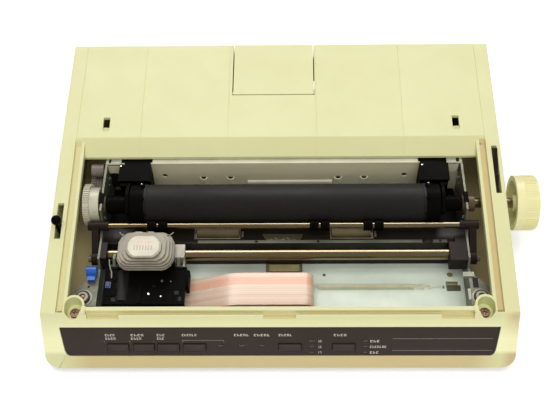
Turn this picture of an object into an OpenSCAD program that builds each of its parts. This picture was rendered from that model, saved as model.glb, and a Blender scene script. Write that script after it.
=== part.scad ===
// Desk dot matrix printer with its cover, paper divider and ribbon lifted off.
// Millimetres. +X right, +Y to the rear, +Z up. z = 0 is the desk, under the middle of the whole printer.

/* [Case] */
// case width, without the paper feed knob
body_w = 360; // [352:1:440]
// case depth, front edge to rear wall
body_d = 275; // [230:1:340]
// height of the rear edge of the case
body_h = 80; // [72:1:100]
// wall thickness of both case halves
wall = 3; // [2:0.1:3.6]
// lean of the front face from the vertical, in degrees
face_tilt = 30.3; // [20:0.1:36]
// height of the parting line between the case halves
seam_z = 20; // [17:0.5:24]

/* [Paper feed] */
// platen diameter
platen_d = 32.3; // [26:0.1:36]
// length of the platen rubber
platen_len = 223; // [180:1:240]
// feed knob diameter
knob_d = 45; // [36:0.5:54]
// feed knob width
knob_w = 18; // [14:0.5:24]

/* [Carriage] */
// carriage guide shaft diameter
guide_d = 9; // [7:0.1:10]
// distance the carriage travels from its parked place
carriage_travel = 203.2; // [160:0.1:204]
// width of the carriage's front housing
carriage_w = 64.4; // [56:0.1:66]
// number of cooling fins on the print head
fins = 6; // [4:1:7]

/* [Control panel] */
// height of the black panel, measured down the front face
panel_h = 25; // [22:0.1:27]
// height of a key
key_h = 7.5; // [6:0.1:8]
// travel of a key
key_travel = 0.8; // [0.5:0.1:0.8]

/* [Hidden] */
$fn = 64;
fit = 0.05;
gap = 0.3;

// Case outline, seen from the side.
hw = body_w / 2;
front_y = -body_d / 2;
rear_y = body_d / 2;
face_z = 8;
fold_y = front_y + 24.9;
fold_z = face_z + 24.9 / tan(face_tilt);
bend_y = front_y + 175.7;
bend_z = body_h - 9.1;
rail_slope = (bend_z - fold_z) / (bend_y - fold_y);
rear_slope = (body_h - bend_z) / (rear_y - bend_y);
face_len = 24.9 / sin(face_tilt);
apron_y = front_y + 34;
face_wall = wall / cos(face_tilt);
knob_reach = 26;
case_x = -knob_reach / 2;

// The opening, its lip and the seat of the cover that lifts off.
open_hw = hw - 18.9;
lip_w = 2.6;
seat_hw = hw - 11.5;
open_rear = front_y + 165.5;
open_front = front_y + 30.5;
seat_depth = 4;
lip_drop = 2;
bevel_top_y = front_y + 178.5;
bevel_bottom_z = rail_z(open_rear) - 8.5;
bevel_slope = (top_z(bevel_top_y) - bevel_bottom_z) / (bevel_top_y - open_rear);
front_lip_w = 3.3;
front_seat_z = fold_z - 2.4;
front_trough_z = fold_z - 4.6;
rim_depth = 7.5;
panel_lines = [-115.3, -43, 30.5, 102];
boss_x = hw - 24.2;
boss_y = front_y + 30.4;
boss_seat_z = fold_z - 12;
boss_bore_r = 6.6;
boss_cup_r = 8.4;
boss_stretch = 1.7;

// Paper feed.
platen_r = platen_d / 2;
platen_y = front_y + 127.6;
platen_z = 46.9;
paper_x = 4.2;
platen_x0 = paper_x - platen_len / 2;
platen_x1 = paper_x + platen_len / 2;
wheel_w = 12.8;
pin_r = platen_r + 1.9;
pin_count = 8;
shaft_r = 4;
left_frame_x = -hw + 35.8;
right_frame_x = hw - 31.2;
sheet = 1.5;
knob_x = hw + knob_reach - knob_w;
gear_r = platen_r + 0.85;
gear_x = left_frame_x - 13.8;
idler_r = 14.2;
idler_y = platen_y + 27;
idler_z = platen_z - sqrt(pow(gear_r + idler_r + gap, 2) - 27 * 27);
pinion_r = 4.2;
pinion_y = idler_y + idler_r + pinion_r + gap;
pinion_z = idler_z;
motor_can_r = 12.5;
motor_can_len = 20;
pressure_r = 6.5;
pressure_pin_r = 1.5;
pressure_spans = [[-67.8, -33.2], [42, 74.1]];
pressure_angle = 49.4;
pressure_y = platen_y - (platen_r + pressure_r + 0.4) * cos(pressure_angle);
pressure_z = platen_z - (platen_r + pressure_r + 0.4) * sin(pressure_angle);

// Paper bail.
bail_r = 2.5;
bail_roller_r = 4.6;
bail_y = platen_y - platen_r - bail_roller_r - 0.25;
bail_z = platen_z - 0.4;
bail_pivot_y = bail_y - 21.5;
bail_pivot_z = bail_z - 15.5;
bail_pivot_r = 2.6;

// Chassis floor, carriage and cable.
tray_z = 7;
floor_z = 11.2;
guide_r = guide_d / 2;
guide_y = front_y + 87.5;
guide_z = 33.3;
frame_top_z = bevel_bottom_z - wall - 0.6;
tab_t = 1.2;
tab_y1 = front_y + 168;
box_x0 = left_frame_x + sheet + 4.6;
box_x1 = box_x0 + carriage_w;
bracket_x = box_x1 + carriage_travel + 5.3;
box_y0 = front_y + 41;
box_y1 = front_y + 75.5;
box_z = 34;
box_rim_z = 16.5;
deck_x0 = left_frame_x + 16.2;
deck_x1 = deck_x0 + 44;
deck_y1 = front_y + 94.9;
deck_z = guide_z + guide_r + 2.7;
head_x = (deck_x0 + deck_x1) / 2 + 0.5;
head_y = guide_y - 5.2;
motor_x = box_x0 + 14.2;
motor_z = guide_z - guide_r - 2.6;
rack_y = front_y + 92.3;
rack_w = 3.6;
space_pinion_r = 4.8;
rack_top_z = motor_z - space_pinion_r - gap;
cable_y0 = box_y0 + 3;
cable_w = 29;
cable_t = 0.4;
cable_low_z = 15.9;
cable_bend_r = 6.6;
cable_bend_x = box_x1 + 94;

// Levers, hatch, boards.
gap_lever_x = -hw + 6;
gap_pivot_y = front_y + 102;
gap_pivot_z = 28;
gap_lean = 7;
gap_stud_r = 2.5;
release_x = hw - 5.2;
release_lean = 34;
release_reach = 44.6;
hatch_x0 = -39.5;
hatch_x1 = 28.6;
hatch_y = rear_y - (rear_y - bevel_top_y) * 0.55;
hatch_t = 2.5;
hatch_gap = 0.9;
hatch_axis_y = hatch_y + 2.5;
hatch_axis_z = top_z(hatch_axis_y) - 1.8;
board_z = 14;
switch_y = rear_y - 32;
switch_z = 40;
inlet_x = hw - 66;
inlet_z = 33;

// Keys: left edge and width of each, along the panel.
key_v = 18.1;
line_feed_key = [-130.9, 15.8];
form_feed_key = [-111.2, 15.8];
top_of_form_key = [-92.8, 16.5];
select_key = [-73.2, 17.1];
pitch_key = [-0.4, 17.3];
mode_key = [40.5, 17];
keys = [line_feed_key, form_feed_key, top_of_form_key, select_key, pitch_key, mode_key];
lamp_row = [-44.6, -28.8, -13];
lamp_columns = [24.8, 65.5];
lamp_w = 3.6;
lamp_h = 1.1;
panel_v = 23.8;
panel_top_w = body_w - 27;
panel_bottom_w = body_w - 32.6;
panel_recess = 1.5;

function rail_z(y) = fold_z + rail_slope * (y - fold_y);
function top_z(y) = y < bend_y ? rail_z(y) : bend_z + rear_slope * (y - bend_y);
// Where the bevel behind the opening meets a line drawn a given drop below the rails.
function bevel_meet(drop) = (bevel_bottom_z - bevel_slope * open_rear - fold_z + drop + rail_slope * fold_y)
    / (rail_slope - bevel_slope);

module block(x, y, z) {
    translate([x[0], y[0], z[0]]) cube([x[1] - x[0], y[1] - y[0], z[1] - z[0]]);
}

module along_x(x) {
    translate([x[0], 0, 0]) rotate([90, 0, 90]) linear_extrude(x[1] - x[0]) children();
}

module rod_x(x, y, z, r) {
    translate([x[0], y, z]) rotate([0, 90, 0]) cylinder(r = r, h = x[1] - x[0]);
}

module rod_y(y, x, z, r) {
    translate([x, y[0], z]) rotate([-90, 0, 0]) cylinder(r = r, h = y[1] - y[0]);
}

module post(x, y, z, r) {
    translate([x, y, z[0]]) cylinder(r = r, h = z[1] - z[0]);
}

module at_case() {
    translate([case_x, 0, 0]) children();
}

// Local frame of the leaning front face: y runs up the face, z points out of it.
module on_face() {
    translate([0, front_y, face_z]) rotate([90 - face_tilt, 0, 0]) children();
}

module chamfered(w, d, c) {
    polygon([[-w / 2 + c, -d / 2], [w / 2 - c, -d / 2], [w / 2, -d / 2 + c], [w / 2, d / 2 - c],
        [w / 2 - c, d / 2], [-w / 2 + c, d / 2], [-w / 2, d / 2 - c], [-w / 2, -d / 2 + c]]);
}

// A toothed disc: the teeth stand on a body of the root radius.
module toothed(r, depth, count, w) {
    cylinder(r = r - depth, h = w);
    for (i = [0 : count - 1])
        rotate([0, 0, i * 360 / count])
            translate([r - depth - 0.4, -PI * r / count * 0.42, 0])
                cube([depth + 0.3, PI * r / count * 0.84, w]);
}

/* ---- case ---- */

module case_side() {
    polygon([[front_y, face_z], [fold_y, fold_z], [bend_y, bend_z], [rear_y, body_h], [rear_y, seam_z],
        [apron_y, seam_z], [apron_y, face_z]]);
}

module case_hollow() {
    lean = tan(face_tilt);
    drop = (rail_slope * face_wall - wall) / (1 - rail_slope * lean);
    polygon([[front_y + face_wall - lean, face_z - 1], [fold_y + face_wall + drop * lean, fold_z + drop],
        [bend_y, bend_z - wall], [rear_y - wall, body_h - wall - rear_slope * wall], [rear_y - wall, 0],
        [apron_y + 10, 0], [apron_y + 10, face_z - 1]]);
}

// The thicker band of plastic that carries the seat of the cover.
module rim_side() {
    polygon([[fold_y - 2, fold_z + 1], [fold_y - 1, fold_z - rim_depth], [open_rear, rail_z(open_rear) - rim_depth],
        [open_rear, bevel_bottom_z - wall], [bevel_top_y + 1, top_z(bevel_top_y) - wall], [bevel_top_y + 1, body_h + 5],
        [fold_y - 2, body_h + 5]]);
}

module above_rail(drop) {
    meet = bevel_meet(drop);
    polygon([[fold_y + 0.5, rail_z(fold_y) - drop], [meet, rail_z(meet) - drop], [bevel_top_y, top_z(bevel_top_y)],
        [bevel_top_y, body_h + 9], [fold_y + 0.5, body_h + 9]]);
}

module above_bevel() {
    polygon([[open_rear - 1, bevel_bottom_z - bevel_slope], [bevel_top_y, top_z(bevel_top_y)],
        [bevel_top_y, body_h + 9], [open_rear - 1, body_h + 9]]);
}

module groove_side() {
    polygon([[bevel_top_y, top_z(bevel_top_y) - 0.6], [bend_y + 3, top_z(bend_y + 3) - 0.6],
        [rear_y + 1, body_h + rear_slope - 0.6], [rear_y + 1, body_h + 5], [bevel_top_y, body_h + 5]]);
}

// A shallow groove that carries a panel line of the top on down the bevel.
module bevel_groove() {
    polygon([[open_rear - 1, bevel_bottom_z - bevel_slope - 0.6], [bevel_top_y, top_z(bevel_top_y) - 0.6],
        [bevel_top_y, body_h + 5], [open_rear - 1, body_h + 5]]);
}

// A post drawn out to the front and the rear, for the cups of the two front screws.
module long_post(x, y, z, r) {
    for (side = [-1, 1]) post(x, y + side * boss_stretch, z, r);
    block([x - r, x + r], [y - boss_stretch, y + boss_stretch], z);
}

// The cups stand in the front corners of the opening, as high as its lip.
module boss_cups() {
    difference() {
        intersection() {
            for (x = [-boss_x, boss_x]) long_post(x, boss_y, [seam_z + 5.5, body_h], boss_cup_r);
            along_x([-hw, hw]) case_side();
        }
        along_x([-hw, hw]) above_rail(lip_drop);
    }
}

module boss_bores() {
    for (x = [-boss_x, boss_x]) {
        long_post(x, boss_y, [boss_seat_z, body_h], boss_bore_r);
        post(x, boss_y, [0, boss_seat_z + 1], 2.3);
    }
}

module key_holes(grow) {
    for (k = keys)
        translate([k[0] - grow, key_v - key_h / 2 - grow, -20]) cube([k[1] + 2 * grow, key_h + 2 * grow, 30]);
    lamps(grow, -20, 30);
}

// The window bars of all nine lamps, grown by a margin, from a given depth and that long.
module lamps(grow, depth, length) {
    size = [lamp_w + 2 * grow, lamp_h + 2 * grow, length];
    for (x = lamp_row)
        translate([x - size[0] / 2, key_v + 1.8 - size[1] / 2, depth]) cube(size);
    for (x = lamp_columns, i = [-1, 0, 1])
        translate([x - size[0] / 2, key_v + 1 + 5 * i - size[1] / 2, depth]) cube(size);
}

module panel_outline(grow) {
    top = panel_v + panel_h / 2 + grow;
    bottom = panel_v - panel_h / 2 - grow;
    difference() {
        polygon([[-panel_top_w / 2 - grow, top], [panel_top_w / 2 + grow, top],
            [panel_bottom_w / 2 + grow, bottom], [-panel_bottom_w / 2 - grow, bottom]]);
        for (side = [-1, 1])
            translate([side * (panel_bottom_w / 2 + grow - 4), bottom + 4, 0]) scale([side, 1]) difference() {
                translate([0, -9]) square([9, 9]);
                circle(r = 4);
            }
    }
}

module upper_case() {
    color([0.88, 0.85, 0.67]) difference() {
        union() {
            difference() {
                along_x([-hw, hw]) case_side();
                difference() {
                    along_x([-hw + wall, hw - wall]) case_hollow();
                    along_x([-seat_hw - 2.5, seat_hw + 2.5]) rim_side();
                }
                along_x([-open_hw, open_hw])
                    polygon([[open_front, 0], [open_rear, 0], [open_rear, 99], [open_front, 99]]);
            }
            boss_cups();
            panel_posts();
            switch_surround();
            gap_lever_stud();
        }
        along_x([-open_hw - 0.01, open_hw + 0.01]) above_bevel();
        for (side = [-1, 1]) scale([side, 1, 1]) {
            along_x([open_hw + lip_w, seat_hw]) above_rail(seat_depth);
            along_x([open_hw - 1, open_hw + lip_w + 0.01]) above_rail(lip_drop);
            block([open_hw + lip_w + 0.6, seat_hw - 0.6], [fold_y + 0.6, fold_y + 3.4], [fold_z - 20, fold_z]);
        }
        block([-boss_x + 10, boss_x - 10], [fold_y - 8, open_front - front_lip_w], [front_seat_z, body_h]);
        block([-boss_x + 10, boss_x - 10], [fold_y - 0.2, open_front - front_lip_w], [front_trough_z, body_h]);
        block([-boss_x + 10, boss_x - 10], [open_front - front_lip_w - 0.1, open_front + 1], [fold_z - 0.4, body_h]);
        front_pockets();
        boss_bores();
        for (x = [-seat_hw + 0.5, seat_hw - 0.5]) along_x([x - 0.4, x + 0.4]) groove_side();
        for (x = panel_lines) along_x([x - 0.4, x + 0.4]) {
            groove_side();
            bevel_groove();
        }
        hook_slots();
        hatch_cut();
        block([gap_lever_x - 2.4, gap_lever_x + 2.4], [gap_pivot_y - 15.5, gap_pivot_y + 15.7], [50, body_h]);
        block([release_x - 2.2, release_x + 2.2], [platen_y - 2.4, platen_y + 41.2], [55, body_h]);
        rod_x([hw - wall - 1, hw + 1], platen_y, platen_z, 8);
        on_face() translate([0, 0, -panel_recess]) linear_extrude(9) panel_outline(gap);
        on_face() key_holes(0.35);
        rear_sockets();
        bottom_corners();
    }
}

module panel_posts() {
    on_face() for (x = [-134.5, -50, 34, 72.5], v = [29.5])
        translate([x, v, -8.4]) cylinder(r = 2.6, h = 8.4 - wall / 2);
}

// The stud in the left wall that the print gap lever turns on.
module gap_lever_stud() {
    rod_x([-hw + wall - 0.5, gap_lever_x + 2.5], gap_pivot_y, gap_pivot_z, gap_stud_r);
    rod_x([-hw + wall - 0.5, gap_lever_x - 1.5 - gap], gap_pivot_y, gap_pivot_z, gap_stud_r + 2);
}

module switch_surround() {
    block([hw - wall - 1.5, hw - wall + 0.5], [switch_y - 13, switch_y + 13], [switch_z - 10, switch_z + 10]);
}

module front_pockets() {
    for (x = [-133.2, 0.5, 134.1])
        translate([x, 0, 0]) on_face() translate([-12.2, face_len - 5.8, -2.6]) cube([24.4, 6, 9]);
}

module hook_slots() {
    for (x = [-144.6, 145.9])
        along_x([x - 2.8, x + 2.8]) polygon([[bend_y + 7, top_z(bend_y + 7) + 1], [bend_y + 16, bend_z - 2],
            [bend_y + 16, bend_z - 9], [bend_y + 23, bend_z - 9], [bend_y + 23, body_h + 5], [bend_y + 7, body_h + 5]]);
}

module hatch_cut() {
    block([hatch_x0 - hatch_gap, hatch_x1 + hatch_gap], [hatch_y - hatch_gap, rear_y + 1], [body_h - 15, body_h + 5]);
    rod_x([hatch_x0 - 4, hatch_x1 + 4], hatch_axis_y, hatch_axis_z, 1 + fit);
}

module rear_sockets() {
    block([-33, 31], [rear_y - wall - 1, rear_y + 1], [seam_z + 2, 37]);
    block([inlet_x - 14.3, inlet_x + 14.3], [rear_y - wall - 1, rear_y + 1], [inlet_z - 10.3, inlet_z + 10.3]);
    block([hw - 8, hw + 1], [switch_y - 10.3, switch_y + 10.3], [switch_z - 7.3, switch_z + 7.3]);
    for (i = [0 : 9])
        block([-150 + i * 9, -146 + i * 9], [rear_y - wall - 1, rear_y + 1], [36, 56]);
}

// Rounds the two lower corners of the leaning front face.
module bottom_corners() {
    on_face() for (side = [-1, 1])
        translate([side * (hw - 11), 11, -40]) scale([side, 1, 1]) difference() {
            translate([0, -20, 0]) cube([20, 20, 60]);
            translate([0, 0, -1]) cylinder(r = 11, h = 62);
        }
}

module lower_case() {
    tray_hw = hw - wall - 0.4;
    color([0.8, 0.76, 0.6]) difference() {
        union() {
            difference() {
                union() {
                    block([-tray_hw, tray_hw], [front_y + 10.5, rear_y - wall - 0.4], [4, seam_z]);
                    block([-hw + 1.5, hw - 1.5], [apron_y + 0.5, rear_y - 1.5], [seam_z - 3, seam_z]);
                }
                block([-tray_hw + wall, tray_hw - wall], [front_y + 10.5 + wall, rear_y - 2 * wall], [tray_z, 40]);
                block([-hw, hw], [front_y - 1, apron_y + 0.3], [13, 40]);
            }
            for (x = [-boss_x, boss_x]) post(x, boss_y, [tray_z - 0.5, seam_z + 5.5], 5);
            for (x = [-1, 1]) post(grommet_x(x), front_y + 47.9, [tray_z - 0.5, 28.5], 4.5);
            for (x = [-120, 10, 125], y = [front_y + 50, front_y + 158])
                post(x, y, [tray_z - 0.5, floor_z - 1.2], 5);
            for (x = [-143, 50], y = [rear_y - 86, rear_y - 14]) post(x, y, [tray_z - 0.5, board_z], 4);
            for (x = [92, 143], y = [rear_y - 80, rear_y - 36]) post(x, y, [tray_z - 0.5, board_z], 5);
        }
        for (x = [-boss_x, boss_x]) post(x, boss_y, [9, 40], 2);
        for (x = [-150, 150], y = [-110, 110]) post(x, y * body_d / 275, [3, 5.5], 6);
        for (i = [0 : 11]) block([-60 + 10 * i, -56 + 10 * i], [rear_y - 60, rear_y - 36], [3, 9]);
    }
}

function grommet_x(side) = side < 0 ? -hw + 26.5 : hw - 23.6;

module rubber_feet() {
    color([0.12, 0.12, 0.12]) for (x = [-150, 150], y = [-110, 110])
        translate([x, y * body_d / 275, 0]) {
            cylinder(r = 9, h = 4);
            cylinder(r = 5.9, h = 5.4);
        }
}

module case_screws() {
    color([0.62, 0.45, 0.36]) for (x = [-boss_x, boss_x])
        difference() {
            union() {
                post(x, boss_y, [boss_seat_z, boss_seat_z + 2.6], 3.8);
                post(x, boss_y, [9.5, boss_seat_z + 1], 1.95);
            }
            for (turn = [0, 90])
                translate([x, boss_y, boss_seat_z + 2.2]) rotate([0, 0, turn]) cube([4.4, 0.9, 2.4], center = true);
        }
}

module rear_hatch() {
    color([0.88, 0.85, 0.67]) {
        difference() {
            along_x([hatch_x0, hatch_x1]) polygon([[hatch_y, top_z(hatch_y)], [rear_y, body_h], [rear_y, body_h - 14.2],
                [rear_y - 2.5, body_h - 14.2], [rear_y - 2.5, body_h - hatch_t - 0.2], [hatch_y, top_z(hatch_y) - hatch_t]]);
            block([-16, 5], [rear_y - 1.1, rear_y + 1], [body_h - 11, body_h - 7]);
        }
        rod_x([hatch_x0 - 3.4, hatch_x1 + 3.4], hatch_axis_y, hatch_axis_z, 1);
    }
}

/* ---- control panel ---- */

module control_panel() {
    color([0.13, 0.11, 0.1]) on_face() difference() {
        translate([0, 0, -panel_recess]) linear_extrude(1.2) panel_outline(0);
        key_holes(0.3);
    }
}

module panel_board() {
    color([0.16, 0.34, 0.2]) on_face() difference() {
        union() {
            translate([-138, 11.5, -10]) cube([214, 23, 1.6]);
            for (k = keys) translate([k[0] + k[1] / 2 - 3, key_v - 3, -8.4]) cube([6, 6, 2.5]);
        }
        for (x = lamp_row) translate([x, key_v + 1.8, -20]) cylinder(r = 0.5, h = 30);
    }
}

module indicator_lamps() {
    color([0.45, 0.55, 0.3]) on_face() lamps(0, -8.4, 8.1);
}

module key(k) {
    color([0.17, 0.15, 0.14]) on_face() {
        translate([k[0], key_v - key_h / 2, -1.4]) cube([k[1], key_h, 2.2]);
        translate([k[0] + k[1] / 2, key_v, key_travel - 5.8]) cylinder(r = 1.8, h = 4.5 - key_travel);
    }
}

module key_line_feed() { key(line_feed_key); }
module key_form_feed() { key(form_feed_key); }
module key_top_of_form() { key(top_of_form_key); }
module key_select() { key(select_key); }
module key_pitch() { key(pitch_key); }
module key_mode() { key(mode_key); }

/* ---- chassis ---- */

module base_plate() {
    color([0.72, 0.78, 0.72]) difference() {
        block([left_frame_x + sheet, right_frame_x], [front_y + 35, front_y + 166], [floor_z - 1.2, floor_z]);
        block([-11.6, 18.3], [front_y + 84.2, front_y + 94], [0, 20]);
        post(right_frame_x - 10.6, front_y + 81.7, [0, 20], 2.4);
        block([right_frame_x - 14.6, right_frame_x - 5], [front_y + 69, front_y + 75.3], [0, 20]);
    }
}

module frame_side() {
    polygon([[front_y + 41, floor_z - 1.2], [front_y + 41, 33], [front_y + 74, 33], [front_y + 79, bail_z - 5],
        [bail_y + 3.4, bail_z - 5], [bail_y + 7.9, frame_top_z], [front_y + 162, frame_top_z],
        [front_y + 162, floor_z - 1.2]]);
}

// The tail of the left plate, which carries the paper feed motor and the stud of the idler gear.
module motor_mount() {
    along_x([left_frame_x, left_frame_x + sheet])
        polygon([[front_y + 161, 17.5], [pinion_y + 15, 17.5], [pinion_y + 15, 46], [front_y + 161, 50]]);
    rod_x([gear_x, left_frame_x + 0.5], idler_y, idler_z, 3);
    rod_x([gear_x + 11.9, left_frame_x + 0.5], idler_y, idler_z, 4.5);
}

// Drawn for the left; side = 1 mirrors it to the right.
module side_frame(x, out) {
    color([0.66, 0.67, 0.62]) difference() {
        union() {
            along_x([x, x + sheet]) frame_side();
            if (out < 0) motor_mount();
            rod_x(out < 0 ? [x - 9.5, x + 0.5] : [x + sheet - 0.5, x + sheet + 9.5],
                bail_pivot_y, bail_pivot_z, bail_pivot_r);
            ear_x = out < 0 ? [-hw + 19.5, x + 0.2] : [x + sheet - 0.2, hw - 16.5];
            block(ear_x, [front_y + 41, front_y + 55], [31.8, 33]);
            flange_x = out < 0 ? [x + sheet - 0.1, x + 13] : [x + sheet - 13, x + 0.1];
            block(flange_x, [front_y + 160.5, front_y + 162], [46, frame_top_z]);
            block(flange_x, [front_y + 160.5, tab_y1], [frame_top_z - tab_t, frame_top_z]);
            translate([out < 0 ? x : x + sheet, 0, 31.8]) scale([out, 1, 1]) linear_extrude(1.2)
                polygon([[-0.2, front_y + 54.9], [16.2, front_y + 54.9], [1.5, front_y + 69], [-0.2, front_y + 69]]);
        }
        rod_x([x - 1, x + sheet + 1], platen_y, platen_z, 7);
        rod_x([x - 1, x + sheet + 1], guide_y, guide_z, guide_r + gap);
        post(grommet_x(out), front_y + 47.9, [30, 35], 4.3);
        slot_x = out < 0 ? x + 2.4 : x + sheet - 5;
        block([slot_x, slot_x + 2.6], [front_y + 162.5, tab_y1 - 1], [frame_top_z - 2, frame_top_z + 1]);
        if (out < 0) rod_x([x - 1, x + sheet + 1], pinion_y, pinion_z, 2.6);
    }
}

module left_side_frame() { side_frame(left_frame_x, -1); }
module right_side_frame() { side_frame(right_frame_x, 1); }

module back_plate() {
    y0 = front_y + 162.3;
    plate_x = [left_frame_x + sheet, right_frame_x];
    color([0.5, 0.5, 0.42]) difference() {
        union() {
            block(plate_x, [y0, y0 + 1.2], [floor_z, frame_top_z - 1]);
            block([paper_x - 110, paper_x + 110], [y0, y0 + 6], [frame_top_z - 2.2, frame_top_z - 1]);
            for (x = [-64.4, -41.8, 48.7, 70.5]) intersection() {
                post(x, y0 + 0.6, [26, 38], 3.4);
                block([x - 4, x + 4], [y0 - 4, y0 + 1], [25, 39]);
            }
            block(plate_x, [y0, front_y + 166], [floor_z, floor_z + 1.5]);
        }
        block([left_frame_x, left_frame_x + sheet + motor_can_len + 1.2], [y0 - 1, y0 + 9], [0, 46]);
        for (x = [left_frame_x, right_frame_x - 14])
            block([x, x + 15.5], [y0 - 1, y0 + 9], [frame_top_z - tab_t - gap, frame_top_z]);
        for (x = [-97, 104]) rod_y([y0 - 1, y0 + 2], x, 40, 2.2);
    }
}

module paper_guide(x) {
    color([0.08, 0.08, 0.08]) difference() {
        along_x(x) polygon([[front_y + 140, 30], [front_y + 160.2, 30], [front_y + 160.2, frame_top_z + 1],
            [front_y + 143, frame_top_z + 1], [front_y + 140, frame_top_z - 3]]);
        rod_x([x[0] - 1, x[1] + 1], platen_y, platen_z, pin_r + 1);
    }
}

module left_paper_guide() { paper_guide([left_frame_x + 12, platen_x0 + 1]); }
module right_paper_guide() { paper_guide([platen_x1 - 1, right_frame_x - 10.5]); }

module front_paper_guide() {
    y0 = front_y + 96.4;
    color([0.12, 0.1, 0.09]) difference() {
        union() {
            block([left_frame_x + sheet, right_frame_x], [y0, front_y + 111], [34.4, 36]);
            block([left_frame_x + sheet, right_frame_x], [y0, y0 + 1.5], [rack_top_z + 1, 35]);
            for (span = pressure_spans, x = [span[0] - 3.6, span[1] + 1.6])
                block([x, x + 2], [pressure_y - 6, pressure_y + 3], [pressure_z - 3, 34.6]);
        }
        for (span = pressure_spans)
            rod_x([span[0] - 9, span[1] + 9], pressure_y, pressure_z, pressure_pin_r + fit);
        for (x = pressure_spans) block([x[0] - 1, x[1] + 1], [y0 + 5, front_y + 112], [30, 40]);
    }
}

module pressure_roller(x) {
    color([0.2, 0.17, 0.15]) {
        rod_x(x, pressure_y, pressure_z, pressure_r);
        rod_x([x[0] - 4, x[1] + 4], pressure_y, pressure_z, pressure_pin_r);
    }
}

module left_pressure_roller() { pressure_roller(pressure_spans[0]); }
module right_pressure_roller() { pressure_roller(pressure_spans[1]); }

module shaft_bushes() {
    color([0.74, 0.6, 0.42]) for (x = [[left_frame_x - 1, left_frame_x + sheet + 1.5],
            [right_frame_x - 1.5, right_frame_x + sheet + 7]])
        difference() {
            rod_x(x, platen_y, platen_z, 6.9);
            rod_x([x[0] - 1, x[1] + 1], platen_y, platen_z, shaft_r + fit);
        }
}

/* ---- platen ---- */

module platen_roller() {
    color([0.09, 0.09, 0.1]) difference() {
        rod_x([platen_x0, platen_x1], platen_y, platen_z, platen_r);
        rod_x([platen_x0 - 1, platen_x1 + 1], platen_y, platen_z, shaft_r + fit);
    }
}

module platen_shaft() {
    color([0.7, 0.7, 0.7]) {
        rod_x([gear_x - 1.5, knob_x + knob_w - 4.2], platen_y, platen_z, shaft_r);
        rod_x([platen_x0 - wheel_w - 8, platen_x0 - wheel_w - 5.1], platen_y, platen_z, 6);
        rod_x([platen_x1 + wheel_w + 5.1, platen_x1 + wheel_w + 8], platen_y, platen_z, 6);
    }
}

module pin_wheel(x, hub) {
    color([0.1, 0.1, 0.1]) difference() {
        union() {
            rod_x([x[0], x[1]], platen_y, platen_z, platen_r);
            rod_x(hub, platen_y, platen_z, 9);
            for (i = [0 : pin_count - 1])
                translate([pin_x(x), platen_y, platen_z]) rotate([i * 360 / pin_count + 20, 0, 0])
                    translate([0, 0, platen_r - 3]) cylinder(r1 = 2.1, r2 = 1.5, h = pin_r - platen_r + 3);
        }
        rod_x([hub[0] - 20, hub[1] + 20], platen_y, platen_z, shaft_r + fit);
    }
}

function pin_x(x) = x[0] < 0 ? paper_x - 114.3 : paper_x + 114.3;

module left_pin_wheel() {
    pin_wheel([platen_x0 - wheel_w, platen_x0 - gap], [platen_x0 - wheel_w - 5, platen_x0 - wheel_w + 1]);
}

module right_pin_wheel() {
    pin_wheel([platen_x1 + gap, platen_x1 + wheel_w], [platen_x1 + wheel_w - 1, platen_x1 + wheel_w + 5]);
}

module platen_gear() {
    color([0.9, 0.9, 0.87]) difference() {
        union() {
            translate([gear_x, platen_y, platen_z]) rotate([0, 90, 0]) toothed(gear_r, 1.2, 54, 4.8);
            rod_x([gear_x + 4, gear_x + 12.2], platen_y, platen_z, gear_r - 3);
        }
        difference() {
            rod_x([gear_x + 6.5, gear_x + 20], platen_y, platen_z, gear_r - 5.5);
            rod_x([gear_x + 6, gear_x + 12.2], platen_y, platen_z, 6.5);
        }
        rod_x([gear_x - 2, gear_x + 20], platen_y, platen_z, shaft_r + fit);
    }
}

module feed_knob() {
    color([0.9, 0.87, 0.7]) difference() {
        union() {
            rod_x([knob_x, knob_x + 6.5], platen_y, platen_z, knob_d / 2 - 0.3);
            translate([knob_x + 6.4, platen_y, platen_z]) rotate([0, 90, 0])
                toothed(knob_d / 2, 0.7, 72, knob_w - 8);
            rod_x([knob_x + knob_w - 1.7, knob_x + knob_w], platen_y, platen_z, knob_d / 2 - 1.2);
        }
        difference() {
            rod_x([knob_x - 1, knob_x + knob_w - 4], platen_y, platen_z, knob_d / 2 - 4.5);
            rod_x([knob_x - 5, knob_x + knob_w], platen_y, platen_z, 6.5);
        }
        rod_x([knob_x - 5, knob_x + knob_w - 4], platen_y, platen_z, shaft_r + fit);
    }
}

module idler_gear() {
    color([0.62, 0.58, 0.55]) difference() {
        union() {
            translate([gear_x + 0.3, idler_y, idler_z]) rotate([0, 90, 0]) toothed(idler_r, 1.2, 45, 4.6);
            rod_x([gear_x + 4.5, gear_x + 11.5], idler_y, idler_z, 12);
            for (x = [5.5, 8, 10.5]) rod_x([gear_x + x, gear_x + x + 1], idler_y, idler_z, 13.2);
        }
        rod_x([gear_x - 1, gear_x + 13], idler_y, idler_z, 3 + fit);
    }
}

module feed_motor() {
    can_x = left_frame_x + sheet;
    color([0.55, 0.56, 0.56]) {
        difference() {
            rod_x([can_x, can_x + motor_can_len], pinion_y, pinion_z, motor_can_r);
            rod_x([can_x - 1, can_x + 8], pinion_y, pinion_z, 2.2 + fit);
        }
        block([can_x + 6, can_x + 14], [pinion_y + 9, pinion_y + 15], [pinion_z - 5, pinion_z + 5]);
    }
}

module feed_pinion() {
    color([0.85, 0.83, 0.78]) {
        translate([gear_x + 0.3, pinion_y, pinion_z]) rotate([0, 90, 0]) toothed(pinion_r, 0.9, 14, 4.6);
        rod_x([gear_x + 4.8, left_frame_x + sheet + 7.6], pinion_y, pinion_z, 2.2);
    }
}

/* ---- bail ---- */

module bail_rod() {
    color([0.75, 0.68, 0.6]) rod_x([left_frame_x - 6, right_frame_x + sheet + 6], bail_y, bail_z, bail_r);
}

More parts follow.
